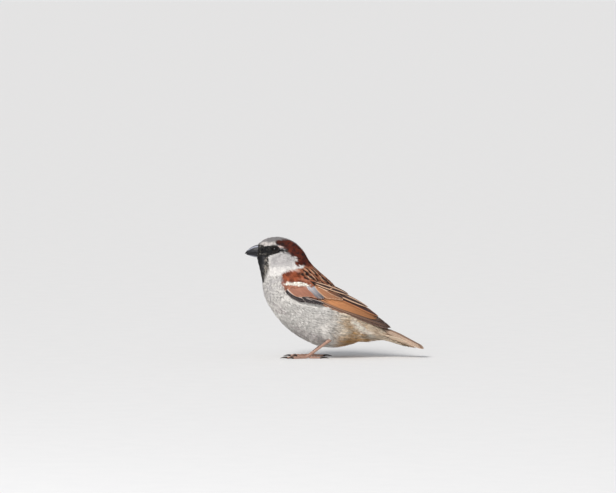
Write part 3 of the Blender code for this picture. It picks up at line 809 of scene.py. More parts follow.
def coat_tree():
    """Sets feathers over the faces of one tract, each along the lie of the coat."""
    group = bpy.data.node_groups.new("set feathers", "GeometryNodeTree")
    made = {}
    for name, kind in (
        ("Skin", "Geometry"), ("Tract", "Int"), ("Spacing", "Float"), ("Size", "Vector"),
        ("Ruffle", "Float"), ("Feathers", "Collection"), ("Finish", "Material"), ("Seed", "Int"),
    ):
        socket = group.interface.new_socket(name, in_out="INPUT", socket_type="NodeSocket" + kind)
        made[name] = socket.identifier
    group.interface.new_socket("Coat", in_out="OUTPUT", socket_type="NodeSocketGeometry")
    tree = Tree(group)
    entry = group.nodes.new("NodeGroupInput")
    given = {name: Term(tree, entry.outputs[name]) for name in made}

    def attribute(name, kind):
        return tree.node("GeometryNodeInputNamedAttribute", {"data_type": kind}, {"Name": name})

    def chance(low, high, turn):
        return tree.node(
            "FunctionNodeRandomValue", {"data_type": "FLOAT"},
            {2: low, 3: high, "Seed": given["Seed"] + turn}, 1,
        )

    chosen = tree.node(
        "FunctionNodeCompare", {"data_type": "INT", "operation": "EQUAL"},
        {2: attribute("tract", "INT"), 3: given["Tract"]},
    )
    roots = tree.node(
        "GeometryNodeDistributePointsOnFaces", {"distribute_method": "POISSON"},
        {
            "Mesh": given["Skin"], "Selection": chosen, "Distance Min": given["Spacing"],
            "Density Max": 4.0 / (given["Spacing"] * given["Spacing"]), "Seed": given["Seed"],
        },
    )
    place = tree.node("GeometryNodeInputPosition")
    for name, kind, value in (("root", "FLOAT_VECTOR", place), ("grain", "FLOAT", chance(0.0, 1.0, 5))):
        roots = tree.node(
            "GeometryNodeStoreNamedAttribute", {"data_type": kind, "domain": "POINT"},
            {"Geometry": roots, "Name": name, "Value": value},
        )
    lie_turn = tree.node(
        "FunctionNodeAxesToRotation", {"primary_axis": "Z", "secondary_axis": "X"},
        {0: attribute("out", "FLOAT_VECTOR"), 1: attribute("lie", "FLOAT_VECTOR")},
    )
    ruffle = given["Ruffle"]
    small_turn = tree.vector(
        chance(-1.0, 1.0, 1) * ruffle, chance(-0.45, 0.10, 2) * ruffle,
        chance(-1.0, 1.0, 3) * ruffle * 1.6,
    )
    turn = tree.node(
        "FunctionNodeRotateRotation", {"rotation_space": "LOCAL"},
        {0: lie_turn, 1: tree.node("FunctionNodeEulerToRotation", None, {0: small_turn})},
    )
    size = tree.node(
        "ShaderNodeVectorMath", {"operation": "SCALE"},
        {0: given["Size"], "Scale": chance(0.86, 1.14, 4) * attribute("growth", "FLOAT")},
    )
    feathers = tree.node(
        "GeometryNodeCollectionInfo", None,
        {"Collection": given["Feathers"], "Separate Children": True, "Reset Children": True},
    )
    coat = tree.node(
        "GeometryNodeInstanceOnPoints", None,
        {"Points": roots, "Instance": feathers, "Pick Instance": True, "Rotation": turn, "Scale": size},
    )
    coat = tree.node("GeometryNodeRealizeInstances", None, {"Geometry": coat})
    coat = tree.node("GeometryNodeSetMaterial", None, {"Geometry": coat, "Material": given["Finish"]})
    leave = group.nodes.new("NodeGroupOutput")
    group.links.new(coat.socket, leave.inputs[0])
    return group, made


def plumage_finish(name, softness):
    """Feather: matt, with fine barbs that run out from the shaft and catch the light a little. Softness
    is how far each feather takes the light as the whole coat does."""
    made, tree, shader = finish_of(name, {"Specular IOR Level": 0.28})
    across, up, _ = tree.parts("vane")
    place = tree.vector(across * 9.0, up * 1.6, tree.stored("grain") * 40.0)
    barbs = tree.noise(place, 1.0, 3.0, 0.65)
    colour = tree.blend(1.0, tree.painted("coat"), barbs * 0.55 + 0.74, "MULTIPLY")
    whole = tree.node("ShaderNodeAttribute", {"attribute_name": "out"}, output=1)
    own = tree.node("ShaderNodeNewGeometry", output=1)
    facing = tree.node("ShaderNodeMix", {"data_type": "VECTOR"}, {0: softness, 4: own, 5: whole}, 1)
    bump = tree.bump(0.35, 0.00012, barbs, Normal=facing)
    drive(tree, shader, base_color=colour, roughness=barbs * 0.25 + 0.52, normal=bump)
    return made


def root_spot(root, along, down):
    """Where a root falls on an unwrap of the skin: along the body, and round it from the belly's middle."""
    side = np.where(root[:, 1] < 0, -1.0, 1.0)
    round_body = np.arccos(np.clip(1 - 2 * down, -1, 1)) / np.pi
    return np.stack([0.01 + 0.975 * along / (len(LIE) - 1), 0.5 + side * 0.485 * round_body], 1)


def bake_map(mesh, spots):
    """Stores the map that the export bakes through, from one spot for each vertex."""
    corner = read_rows(mesh.loops, "vertex_index", 1, int)[:, 0]
    mesh.uv_layers.new(name="OFBake").uv.foreach_set("vector", spots[corner].astype(np.float32).ravel())


def tuft_map(mesh, root, vane, along, down):
    """On the bake map each feather is a small patch at its root's place."""
    local = np.stack([0.5 + 0.5 * np.clip(vane[:, 0] / 1.2, -1, 1), vane[:, 1]], 1) * TUFT_PATCH
    bake_map(mesh, root_spot(root, along, down) + local)


def stored_vectors(mesh, name):
    return read_rows(mesh.attributes[name].data, "vector", 3, np.float32).astype(float)


def stored_numbers(mesh, name):
    return read_rows(mesh.attributes[name].data, "value", 1, np.float32)[:, 0].astype(float)


def back_pattern(points, along, down, grain, base):
    """The back is streaked along its feather rows: black, then buff, then rufous, row by row."""
    lines = spline(LIE, along)
    depth = np.hypot(lines[:, 2] - lines[:, 0], lines[:, 3] - lines[:, 1])
    out = np.hypot(points[:, 1] / MM, down * depth * 0.9) + 0.35 * np.sin(along * 7.0) + 0.5 * (grain - 0.5)
    row = np.floor(out / BACK_ROW)
    share = out / BACK_ROW - row
    uneven = np.sin(row * 12.9 + 3.0 * along) * np.sin(row * 5.3 + 8.1 * along)
    black_width = 0.46 + 0.18 * uneven + 0.18 * (grain - 0.5)
    black = smooth_step(0.07, -0.07, np.abs(share - 0.30) - 0.5 * black_width)
    black *= smooth_step(-0.95, -0.45, uneven + 0.6 * (grain - 0.5))
    pale = smooth_step(0.08, -0.04, np.abs(share - 0.66) - 0.08) * smooth_step(0.25, 0.6, grain)
    back, _ = back_share(points[:, 0] / MM, points[:, 2] / MM, along - 0.18, down + 0.04)
    colour = base + (BACK_STREAK_PALE - base) * (0.8 * pale * back)[:, None]
    return colour + (BACK_BLACK - colour) * (black * smooth_step(0.3, 0.8, back))[:, None]


def coat_colours(points, root, vane, lie, grain, along, down, tract_name):
    """Colours every vertex of a tract: the coat's colour and painted light at its place, varied from feather
    to feather.
    """
    middle = root + lie * 0.62 * (TRACTS[tract_name][2] * MM)
    stray = np.stack([np.sin(91.7 * grain), 0 * grain, np.sin(57.3 * grain)], 1)
    if tract_name.startswith(("breast", "belly", "vent")):
        stray = lie * 1.6 * np.sin(91.7 * grain)[:, None]  # the streaks run on from feather to feather
    stray *= STRAY[tract_name.split("_")[0]] * MM
    base = markings_and_painted_light(0.55 * points + 0.45 * middle + stray, along, down)
    if tract_name == "mantle":
        base = back_pattern(points, along, down, grain, base)
    if tract_name == "shoulder":
        base = base * (0.80 + 0.35 * grain)[:, None]
    if tract_name in ("throat", "face", "cheek"):
        x, z = root[:, 0] / MM, root[:, 2] / MM
        fringe = smooth_step(0.60, 0.95, vane[:, 1]) * smooth_step(0.45, 0.75, grain) * within(x, z, BIB, 1.5)
        fringe *= smooth_step(-53.0, -47.0, x) * smooth_step(70.5, 68.0, z)
        base = base + (BIB_FRINGE - base) * (0.75 * fringe)[:, None]
    tone = 1.0 + 0.10 * (grain - 0.5) + 0.05 * (vane[:, 1] - 0.5)
    # painted shade: the same soft streaks of light and shade as laid over the underside, run on along each
    # feather
    if tract_name.startswith(("breast", "belly", "vent", "rump")):
        tone += 0.03 + 0.27 * flank_streaks(points[:, 0] / MM, points[:, 2] / MM)
        shaft = np.exp(-((vane[:, 0] / 0.3) ** 2)) * smooth_step(0.3, 0.8, vane[:, 1])
        tone -= 0.10 * shaft * smooth_step(0.3, 0.7, grain)
    return np.clip(base * tone[:, None], 0, 1)


x, z, off_middle = surface[:, 0] / MM, surface[:, 2] / MM, np.abs(surface[:, 1])
outward = unit(outward)
tract = tract_numbers(surface, along, down)
on_shoulder = (distance_to(surface, SHOULDERS, NEAR_SOLID) < WING_ROOT) & (off_middle > WING_OFF_MIDDLE)
tract = shoulder_tracts(surface, tract, on_shoulder)
folded = [f"wing_{side}_{part}" for side in SIDES for part in ("secondaries", "primaries")]
under_wing = under_solid(surface, outward, folded, UNDER_WING)
under_wing &= (off_middle > np.interp(x, *zip(*WING_INNER)) * MM) & (z > wing_low(x) - BARE_UNDER_WING)
tract[under_wing] = 0
from_bill = distance_to(surface, ("bill_upper", "bill_lower"), NEAR_SOLID)
tract[from_bill < BARE_BILL] = 0

bed = skin_mesh.copy()
bed.color_attributes.remove(bed.color_attributes["coat"])
lie = lie_vectors(surface, outward, run)
hang = smooth_step(11.0, 16.0, x) * smooth_step(36.0, 28.0, x) * smooth_step(0.66, 0.84, down)
lie = unit(lie + hang[:, None] * (HANG - lie))
stand = unit(outward - lie * np.sum(outward * lie, axis=1, keepdims=True))
bristles = from_bill < BRISTLED
lie[bristles] *= -1.0  # bristles point forward over the bill's base
growth = 1.0 + 0.15 * smooth_step(6.6, 7.4, along) + 0.35 * hang
growth[bristles] = 0.9
for field, kind, values in (
    ("out", "FLOAT_VECTOR", stand), ("lie", "FLOAT_VECTOR", lie),
    ("along", "FLOAT", along), ("down", "FLOAT", down), ("growth", "FLOAT", growth),
):
    store(bed, field, kind, values)
face_tract = tract[read_rows(bed.polygons, "vertices", 4, int)[:, 0]]
bed.attributes.new("tract", "INT", "FACE").data.foreach_set("value", face_tract)

variants = {}
for kind in PLUME_KINDS:
    variants[kind] = bpy.data.collections.new(kind)
    for i in range(PLUME_VARIANTS):
        variants[kind].objects.link(bpy.data.objects.new(f"{kind}_{i}", plume_mesh(kind, 10 * i + len(kind))))

coat_group, coat_sockets = coat_tree()
looks = {
    "tiny": plumage_finish("face plumage", 0.45), "silk": plumage_finish("silky plumage", 0.55),
    "long": plumage_finish("soft plumage", 0.76), "vane": plumage_finish("firm plumage", 0.40),
}
for name, (number, kind, length, width, spacing, ruffle) in TRACTS.items():
    host = piece("bed", bed.copy())
    setting = host.modifiers.new("coat", "NODES")
    setting.node_group = coat_group
    for socket, value in (
        ("Tract", number), ("Spacing", spacing * MM), ("Size", (length * MM, width * MM, length * MM)),
        ("Ruffle", ruffle), ("Feathers", variants[kind]), ("Finish", looks[kind]), ("Seed", number * 7),
    ):
        setting[coat_sockets[socket]] = value
    mesh = applied(host)
    root, vane, lie = (stored_vectors(mesh, field) for field in ("root", "vane", "lie"))
    grain, along, down = (stored_numbers(mesh, field) for field in ("grain", "along", "down"))
    paint_points(mesh, "coat", coat_colours(points_of(mesh), root, vane, unit(lie), grain, along, down, name))
    tuft_map(mesh, root, vane, along, down)
    for spare in ("root", "lie", "along", "down", "growth"):
        mesh.attributes.remove(mesh.attributes[spare])
    coat = piece("coat_" + name, mesh)
    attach(coat, "root")
for kind, group in variants.items():
    for spare in list(group.objects):
        bpy.data.objects.remove(spare, do_unlink=True)
    bpy.data.collections.remove(group)


# ---------------------------------------------------------------------------------------------------
# The folded wings. Rows of long vanes lie like shingles over the outer face of each wing: primaries
# lowest, secondaries over them, then the tertials, and the coverts over the roots of all of these.
# Each vane is a thin closed shell with a raised shaft, a dark web and a paler fringe.
# ---------------------------------------------------------------------------------------------------
VANE_STATIONS = (0.0, 0.06, 0.15, 0.27, 0.40, 0.53, 0.65, 0.75, 0.83, 0.89, 0.935, 0.965, 0.985, 1.0)
VANE_ACROSS = (-1.0, -0.86, -0.62, -0.34, -0.08, 0.0, 0.08, 0.34, 0.62, 0.86, 1.0)
VANE_THICK = 0.11
SHAFT_RIDGE = 0.07
WING_GAP = 0.7  # the least distance between a wing and the middle plane
SHELL_POINTS = 2 * len(VANE_ACROSS)  # round one cross-section, over and under
PATCH_EDGE = 0.08  # share of each vane's patch of the bake map that is left free at its edges


def wing_face(side):
    """The outer face of a folded wing as a smooth function of the side view."""
    centres, areas = [], []
    for part in ("coverts", "secondaries", "primaries"):
        for face in frame["nodes"][f"wing_{side}_{part}"].data.polygons:
            if face.normal.y * SIDES[side] > 0.3:
                centres.append(face.center / MM)
                areas.append(face.area)
    centres, areas = np.array(centres), np.sqrt(np.array(areas))

    def powers(x, z):
        x, z = x / 40.0, (z - 40.0) / 25.0
        return np.stack([x**i * z**j for i in range(5) for j in range(5 - i)], -1)

    shape, *_ = np.linalg.lstsq(
        powers(centres[:, 0], centres[:, 2]) * areas[:, None], centres[:, 1] * areas, rcond=None
    )

    def place(x, z):
        out = SIDES[side] * (powers(x, z) @ shape) - WING_GAP  # each wing keeps to its own side of the back
        return np.stack([x, SIDES[side] * (WING_GAP + 0.5 * (out + np.sqrt(out**2 + 1.0))), z], -1)

    return place


def outward_of(place, a, b, towards):
    """Normals of a face that is a function of two numbers, turned to one side."""
    step = 0.2
    along_a = place(a + step, b) - place(a - step, b)
    along_b = place(a, b + step) - place(a, b - step)
    normal = unit(np.cross(along_a, along_b))
    turned = np.sign(normal @ np.asarray(towards, float))
    return normal * turned[..., None]


def tone_run(tones, t):
    """A colour, or two from root to tip, spread over the stations of a vane."""
    first, last = (np.asarray(tone, float) for tone in (tones if np.ndim(tones) == 2 else (tones, tones)))
    return first + (last - first) * t[..., None]


class Shells:
    """Many vanes gathered into one mesh, with what their finish needs at each vertex."""

    def __init__(self):
        self.rows = {field: [] for field in ("spot", "vane", "margin", "web", "trim")}
        self.faces = []

    def add(self, place, towards, root, tip, width, web, trim, margin, base, tilt=0.3, bow=0.0,
            shaft=0.0, blunt=0.70, droop=0.0, fringe=0.05):
        """One vane on a face. root and tip are side view places, base its height over the face at root
        and tip, tilt how far its lower edge stands over its upper one, margin the fringe's share of
        each web (lower, upper), and fringe its share of the length at the tip."""
        t, u = np.meshgrid(VANE_STATIONS, VANE_ACROSS, indexing="ij")
        root, tip = np.asarray(root, float), np.asarray(tip, float)
        run = tip - root
        length = np.hypot(*run)
        lower = np.array((run[1], -run[0])) / length
        end = np.clip((t - blunt) / (1 - blunt), 0, 1)
        half = 0.5 * width * (0.6 + 0.4 * smooth_step(0.0, 0.3, t)) * (1 - end**2.4) ** 0.62
        half = np.maximum(half, 0.02)
        centre = shaft * half
        sweep = centre + u * (half - np.sign(u) * centre)
        spine = root + run * t[..., None] + lower * (bow * 4 * t * (1 - t))[..., None]
        spot = spine + lower * sweep[..., None]
        a, b = spot[..., 0], spot[..., 1]
        height = base[0] + (base[1] - base[0]) * t + tilt * 0.5 * u * smooth_step(0.0, 0.2, t)
        height += 0.10 * (1 - u**2) + SHAFT_RIDGE * (np.abs(u) < 0.05) * (1 - 0.7 * t) - droop * u**2 * t
        normal = outward_of(place, a, b, towards)
        top = place(a, b) + normal * height[..., None]
        thick = VANE_THICK * (0.25 + 0.75 * (1 - u**2)) * (1 - 0.5 * t)
        under = top - normal * thick[..., None]
        number = len(self.rows["spot"])
        marks = {
            "vane": np.stack([u, t, np.full_like(u, (number + 1) * 0.37 % 1.0)], -1),
            "margin": np.stack(
                [np.where(u > 0, *margin), np.full_like(u, fringe), np.full_like(u, length)], -1
            ),
            "web": tone_run(web, t), "trim": tone_run(trim, t),
        }
        self.rows["spot"].append(np.concatenate([top, under[:, ::-1]], axis=1).reshape(-1, 3))
        for field, over in marks.items():
            self.rows[field].append(np.concatenate([over, over[:, ::-1]], axis=1).reshape(-1, 3))
        first = number * len(VANE_STATIONS) * SHELL_POINTS
        self.faces += ring_faces(first, len(VANE_STATIONS), SHELL_POINTS)
        last = first + (len(VANE_STATIONS) - 1) * SHELL_POINTS
        for cap in (first, last):
            for k in range(len(VANE_ACROSS) - 1):
                quad = (cap + k, cap + k + 1, cap + SHELL_POINTS - 2 - k, cap + SHELL_POINTS - 1 - k)
                self.faces.append(quad[::-1] if cap == first else quad)

    def mesh(self, name, finish):
        """The gathered vanes as one mesh, with the patch of the bake map that each vane owns."""
        rows = {field: np.vstack(parts) for field, parts in self.rows.items()}
        mesh = closed_mesh(name, (rows["spot"] * MM).tolist(), self.faces)
        for field in ("vane", "margin"):
            store(mesh, field, "FLOAT_VECTOR", rows[field])
        for field in ("web", "trim"):
            paint_points(mesh, field, rows[field])
        count = len(self.rows["spot"])
        cells = math.ceil(math.sqrt(count))
        patch = np.repeat(np.arange(count), len(VANE_STATIONS) * SHELL_POINTS)
        across = 0.5 + (0.5 - PATCH_EDGE) * rows["vane"][:, 0]
        up = PATCH_EDGE + (1.0 - 2 * PATCH_EDGE) * rows["vane"][:, 1]
        bake_map(mesh, np.stack([patch % cells + across, patch // cells + up], 1) / cells)
        mesh.materials.append(finish)
        return mesh


def vane_finish(name, gloss=0.42):
    """A vane: web and fringe colours, barbs that slant from the shaft, and a paler horny shaft."""
    made, tree, shader = finish_of(name, {"Specular IOR Level": 0.35})
    across, up, own = tree.parts("vane")
    width, fringe, length = tree.parts("margin")
    slant = up * length - abs(across) * 2.2
    barbs = tree.noise(tree.vector(slant * 2.2, across * 1.2, own * 60.0), 1.0, 4.0, 0.7)
    side = (abs(across) + (barbs - 0.5) * 0.16 - 1.0 + width) / 0.14 + 0.5
    tip = (up + (barbs - 0.5) * 0.04 - 1.0 + fringe) / 0.04 + 0.5
    edged = tree.maths("MAXIMUM", side, tip, clamp=True)
    colour = tree.blend(edged, tree.painted("web"), tree.painted("trim"))
    broad = tree.noise(tree.vector(up * length * 0.16, across * 2.6, own * 31.0), 1.0, 3.0, 0.6)
    colour = tree.blend(1.0, colour, barbs * 0.35 + broad * 0.75 + 0.46, "MULTIPLY")
    shaft = tree.maths("SUBTRACT", 1.0, abs(across) / 0.06, clamp=True)
    colour = tree.blend(shaft * 0.5, colour, SHAFT_BROWN)
    bump = tree.bump(0.3, 0.0001, tree.maths("SINE", slant * 18.0) * 0.3 + barbs)
    drive(tree, shader, base_color=colour, roughness=barbs * 0.2 + gloss, normal=bump)
    return made


SHAFT_BROWN = shade(66, 46, 36)
QUILL_DARK = shade(66, 48, 41)
QUILL_BASE = shade(144, 106, 84)
QUILL_BUFF = shade(184, 142, 116)
QUILL_END = shade(92, 70, 60)
PANEL_ORANGE = shade(214, 144, 92)
PANEL_BUFF = shade(196, 138, 96)
TERTIAL_DARK = shade(58, 38, 31)
TERTIAL_EDGE = shade(220, 180, 150)
TERTIAL_TIP = shade(70, 44, 38)
TERTIAL_RUFOUS = shade(186, 122, 82)
COVERT_TAN = shade(184, 128, 92)
COVERT_BUFF = shade(216, 174, 140)
COVERT_EDGE = shade(208, 156, 128)
# painted reflection on the dark webs of the innermost greater coverts, pale where they catch the light
COVERT_SHEEN_GREY = shade(206, 204, 208)
COVERT_DIM_SHEEN = shade(96, 92, 100)
COVERT_EDGE_SHEEN = shade(196, 188, 192)
COVERT_END_GREY = shade(50, 46, 52)
ALULA_DARK = shade(42, 36, 38)
ALULA_BLACK = shade(34, 28, 30)
ALULA_EDGE = shade(200, 184, 176)


def between(first, last, share):
    first, last = np.asarray(first, float), np.asarray(last, float)
    return first + (last - first) * share


WING_SEEDS = {"left": 31, "right": 47}
ROWS = {  # vanes, root of the first and of the last, tip of the first and of the last, as x and height
    "inner quills": (7, (-7.0, 48.6), (-9.0, 42.6), (26.4, 31.4), (29.8, 28.0)),
    "primary coverts": (7, (-21.5, 42.9), (-28.8, 44.2), (-7.6, 38.6), (-17.6, 40.0)),
    "thumb": (3, (-34.4, 47.6), (-33.4, 48.6), (-20.4, 40.3), (-22.8, 42.9)),
    "inner coverts": (5, (-8.5, 49.8), (-13.4, 52.4), (5.6, 41.2), (-3.0, 42.2)),
    "greater coverts": (12, (-16.4, 52.9), (-33.4, 52.6), (-7.6, 42.6), (-24.0, 42.8)),
}
PRIMARY_ROOTS = ((-8.0, 43.6), (-13.5, 40.9))
PRIMARY_TIPS = (
    (31.8, 28.1), (33.2, 27.1), (34.7, 26.0), (36.3, 24.7), (37.9, 23.4), (39.1, 22.3),
    (39.8, 21.3), (38.0, 20.9), (32.5, 23.2),
)
DARK_PRIMARIES = (0, 3, 6)
TERTIALS = (  # root, tip, width, height at root and tip, bow, fringes, web towards the tip, fringe colour
    ((-8.0, 48.0), (30.6, 29.0), 3.3, (-0.62, -0.10), -0.9, (0.55, 0.12), TERTIAL_TIP, TERTIAL_RUFOUS),
    ((-11.0, 51.2), (23.4, 35.2), 3.0, (-0.42, 0.10), -0.5, (0.56, 0.40), TERTIAL_DARK, TERTIAL_EDGE),
    ((-14.0, 53.6), (9.4, 44.2), 2.8, (-0.25, 0.25), -0.2, (0.50, 0.44), TERTIAL_DARK, TERTIAL_EDGE),
)
PALE_EDGED_COVERTS = (3, 5)
THUMB_FRINGES = (0.10, 0.20, 0.75)
RAISED_TIPS = 1.3  # how far the foremost greater coverts end above the row's line
LIFTED_COVERT = ((-9.0, 50.5), (5.8, 42.2))


def row_of(name):
    """For each vane of a row: its number, its share of the way along the row, its root and its tip."""
    count, first_root, last_root, first_tip, last_tip = ROWS[name]
    for i in range(count):
        share = i / (count - 1)
        yield i, share, between(first_root, last_root, share), between(first_tip, last_tip, share)


def folded_wing(side):
    """All the long feathers of one wing, in three sets that stand for its three solids."""
    face = (wing_face(side), (0, SIDES[side], 0))
    dice = np.random.default_rng(WING_SEEDS[side])
    quills, inner, coverts = Shells(), Shells(), Shells()

    def jig(amount):
        return dice.uniform(-amount, amount, 2)

    for i, tip in enumerate(PRIMARY_TIPS):
        share = i / (len(PRIMARY_TIPS) - 1)
        pale = i not in DARK_PRIMARIES
        root = between(*PRIMARY_ROOTS, share) + jig(0.15)
        web = (QUILL_BASE, QUILL_DARK) if pale else TERTIAL_DARK
        trim = (QUILL_BUFF * (0.72, 0.98)[i % 2], QUILL_END if pale else ALULA_EDGE)
        margin = ((0.05, 0.60)[pale] + dice.uniform(-0.03, 0.05), 0.10)
        quills.add(
            *face, root, tip, 2.7, web, trim, margin, (-1.1 - 0.25 * share, -0.75), tilt=0.34,
            bow=0.35 + dice.uniform(-0.1, 0.1), shaft=0.3, blunt=0.80, fringe=0.012,
        )
    for _, _, root, tip in row_of("inner quills"):
        tip = tip + jig(0.25)
        tone = between(PANEL_ORANGE, PANEL_BUFF, dice.uniform(0, 0.6))
        inner.add(
            *face, root, tip, 4.2, QUILL_DARK, (tone, tone * 0.5), (dice.uniform(0.60, 0.80), 0.05),
            (-0.9, -0.5), tilt=0.40, bow=0.15, shaft=0.28, blunt=0.86, fringe=0.02,
        )
    for root, tip, width, heights, bow, fringes, far_web, edge in TERTIALS:
        inner.add(
            *face, root, tip, width, (TERTIAL_DARK, far_web), edge, fringes, heights,
            tilt=0.35, bow=bow, shaft=0.12, blunt=0.55, fringe=0.03,
        )
    for i, _, root, tip in row_of("primary coverts"):
        coverts.add(
            *face, root, tip + jig(0.2), 2.5, ALULA_DARK, ALULA_EDGE,
            (0.06, 0.16 + 0.4 * (i in PALE_EDGED_COVERTS)), (-0.8, -0.45),
            tilt=0.25, shaft=0.3, blunt=0.75, fringe=0.02,
        )
    for i, _, root, tip in row_of("thumb"):
        coverts.add(
            *face, root, tip, 2.5, (ALULA_DARK, ALULA_BLACK), ALULA_EDGE, (0.08, THUMB_FRINGES[i]),
            (-0.6, -0.3 + 0.08 * i), tilt=0.25, bow=1.2, shaft=0.3, blunt=0.75, fringe=0.02,
        )
    coverts.add(
        *face, *LIFTED_COVERT, 2.4, (TERTIAL_RUFOUS * 0.8, ALULA_DARK), TERTIAL_EDGE, (0.26, 0.10),
        (-0.6, 0.38), tilt=0.30, bow=0.1, shaft=0.2, blunt=0.6, fringe=0.03,
    )
    for i, _, root, tip in row_of("inner coverts"):
        tip = tip + jig(0.3)
        web = (COVERT_TAN * dice.uniform(0.84, 1.0), between(COVERT_TAN, QUILL_DARK, 0.2 + 0.15 * (i % 2)))
        coverts.add(
            *face, root, tip, 3.6, web, between(COVERT_TAN, COVERT_BUFF, 0.9), (0.30, 0.16),
            (-0.9, 0.22), tilt=0.30, bow=0.3, shaft=0.2, blunt=0.58, fringe=0.05,
        )
    for _, share, root, tip in row_of("greater coverts"):
        # painted reflection: the innermost greater coverts have dark webs, painted pale bluish grey where
        # they catch the light and fading to their dark ends
        sheen_share = 1.0 - smooth_step(0.17, 0.30, share)
        sheen_web = between(COVERT_DIM_SHEEN, COVERT_SHEEN_GREY, min(1.0, 0.70 + 5.0 * share))
        web = between(COVERT_RUFOUS, sheen_web, sheen_share) * dice.uniform(0.86, 1.14)
        darker = 0.22 * smooth_step(0.10, 0.0, abs(share - 0.34))
        web = web * (1.0 - 0.34 * smooth_step(0.66, 0.92, share) - darker)
        far_web = between(web, COVERT_END_GREY if sheen_share > 0.5 else COVERT_RUFOUS * 0.72, 0.9)
        edge = between(web, between(COVERT_EDGE, COVERT_EDGE_SHEEN, sheen_share * 0.6), 0.85)
        tip = tip + (0.0, RAISED_TIPS * smooth_step(0.15, 0.5, share)) + jig(0.3)
        coverts.add(
            *face, root, tip, 4.0, (web, far_web), edge, (0.16 + dice.uniform(0, 0.10), 0.12),
            (-0.95, -0.10), tilt=0.30 + dice.uniform(-0.06, 0.06), bow=0.6, shaft=0.2, blunt=0.58,
            fringe=0.03,
        )
    return {"primaries": quills, "secondaries": inner, "coverts": coverts}


wing_finish = vane_finish("wing feathers")
for side in SIDES:
    for part, shells in folded_wing(side).items():
        wing = piece(f"wing_feathers_{side}_{part}", shells.mesh(part, wing_finish))
        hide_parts(f"wing_{side}_{part}")
        "wing_coverts" if part == "coverts" else "wing_quills"
        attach(wing, "root")


# ---------------------------------------------------------------------------------------------------
# The tail: twelve long vanes in six pairs, folded under one another from the middle pair outwards,
# and below them rows of softer coverts that close the hollow between the vent and the tail.
# ---------------------------------------------------------------------------------------------------
TAIL_FACE = (  # x, edge height, half width, arch in millimetres
    (34.0, 19.6, 3.4, 1.2), (40.0, 17.2, 4.6, 2.2), (47.0, 13.2, 5.8, 3.0), (55.0, 9.0, 6.9, 2.8),
    (60.6, 7.0, 7.3, 1.8), (63.6, 6.2, 7.3, 1.3),
)


def tail_face(x, y):
    """The upper face of the folded tail, as a function of the view from above."""
    stations, *columns = zip(*TAIL_FACE)
    edge, half, arch = (np.interp(x, stations, column) for column in columns)
    return np.stack([x, y, edge + arch * (1 - (y / half) ** 2)], -1)


UNDER_TAIL_X = (22.0, 33.0, 43.5, 52.8, 58.0)
UNDER_TAIL_LEVEL = (11.0, 11.8, 9.4, 7.2, 6.6)
UNDER_TAIL_HALF = (9.0, 6.4, 4.8, 3.6, 3.2)
UNDER_TAIL_ROWS = (0.96, 0.72, 0.44, 0.15)  # from the sides inwards, as shares of the half width
UNDER_TAIL_ENDS = (28.5, 53.5)
UNDER_TAIL_WIDTHS = (3.4, 2.8, 2.8, 2.8)
UNDER_TAIL_ROOTS = (-1.9, -1.1, -1.1, -1.1)  # the outermost row starts deeper in the plumage
TAIL_PAIRS = 6
TAIL_BROWN = shade(146, 116, 96)
TAIL_EDGE = shade(206, 180, 158)


def rump_underside(x, y):
    """The lower face of the rump and of the tail's root, where the under tail coverts lie."""
    level, half = np.interp(x, UNDER_TAIL_X, UNDER_TAIL_LEVEL), np.interp(x, UNDER_TAIL_X, UNDER_TAIL_HALF)
    return np.stack([x, y, level + 2.6 * np.clip(np.abs(y) / half, 0, 1.6) ** 2], -1)


tail, under_tail = Shells(), Shells()
for side in SIDES.values():
    for pair in range(TAIL_PAIRS - 1, -1, -1):
        web = TAIL_BROWN * (1.0 - 0.08 * (pair % 2))
        tail.add(
            tail_face, (0, 0, 1), (31.0, side * (0.9 + 0.12 * pair)),
            (60.9 + 0.34 * pair, side * (2.05 + 0.58 * pair)), 4.9,
            (web, web * 0.86), TAIL_EDGE, (0.16, 0.16),
            (-0.1 - 0.42 * pair, -0.05 - 0.12 * pair), tilt=0.0, blunt=0.84, droop=0.25, fringe=0.018,
        )
    for row, share in enumerate(UNDER_TAIL_ROWS):
        near, far = (share * np.interp(x, UNDER_TAIL_X, UNDER_TAIL_HALF) for x in UNDER_TAIL_ENDS)
        web = between(TAIL_COVERT_BUFF, TAIL_COVERT_BROWN, 0.25 + 0.3 * row)
        under_tail.add(
            rump_underside, (0, 0, -1), (UNDER_TAIL_ENDS[0], side * near),
            (UNDER_TAIL_ENDS[1] + 1.2 * row, side * far), UNDER_TAIL_WIDTHS[row],
            (web, web * 0.85), web * 1.06, (0.30, 0.30), (UNDER_TAIL_ROOTS[row], 0.4 - 0.1 * row),
            tilt=0.0, blunt=0.35, droop=-0.05, fringe=0.03,
        )
tail_feathers = piece("tail_feathers", tail.mesh("tail feathers", vane_finish("tail feathers", 0.5)))
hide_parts("tail")
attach(tail_feathers, "root")
covert_look = vane_finish("under tail coverts", 0.55)
covert_feathers = piece("under_tail_coverts", under_tail.mesh("under tail coverts", covert_look))
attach(covert_feathers, "root")


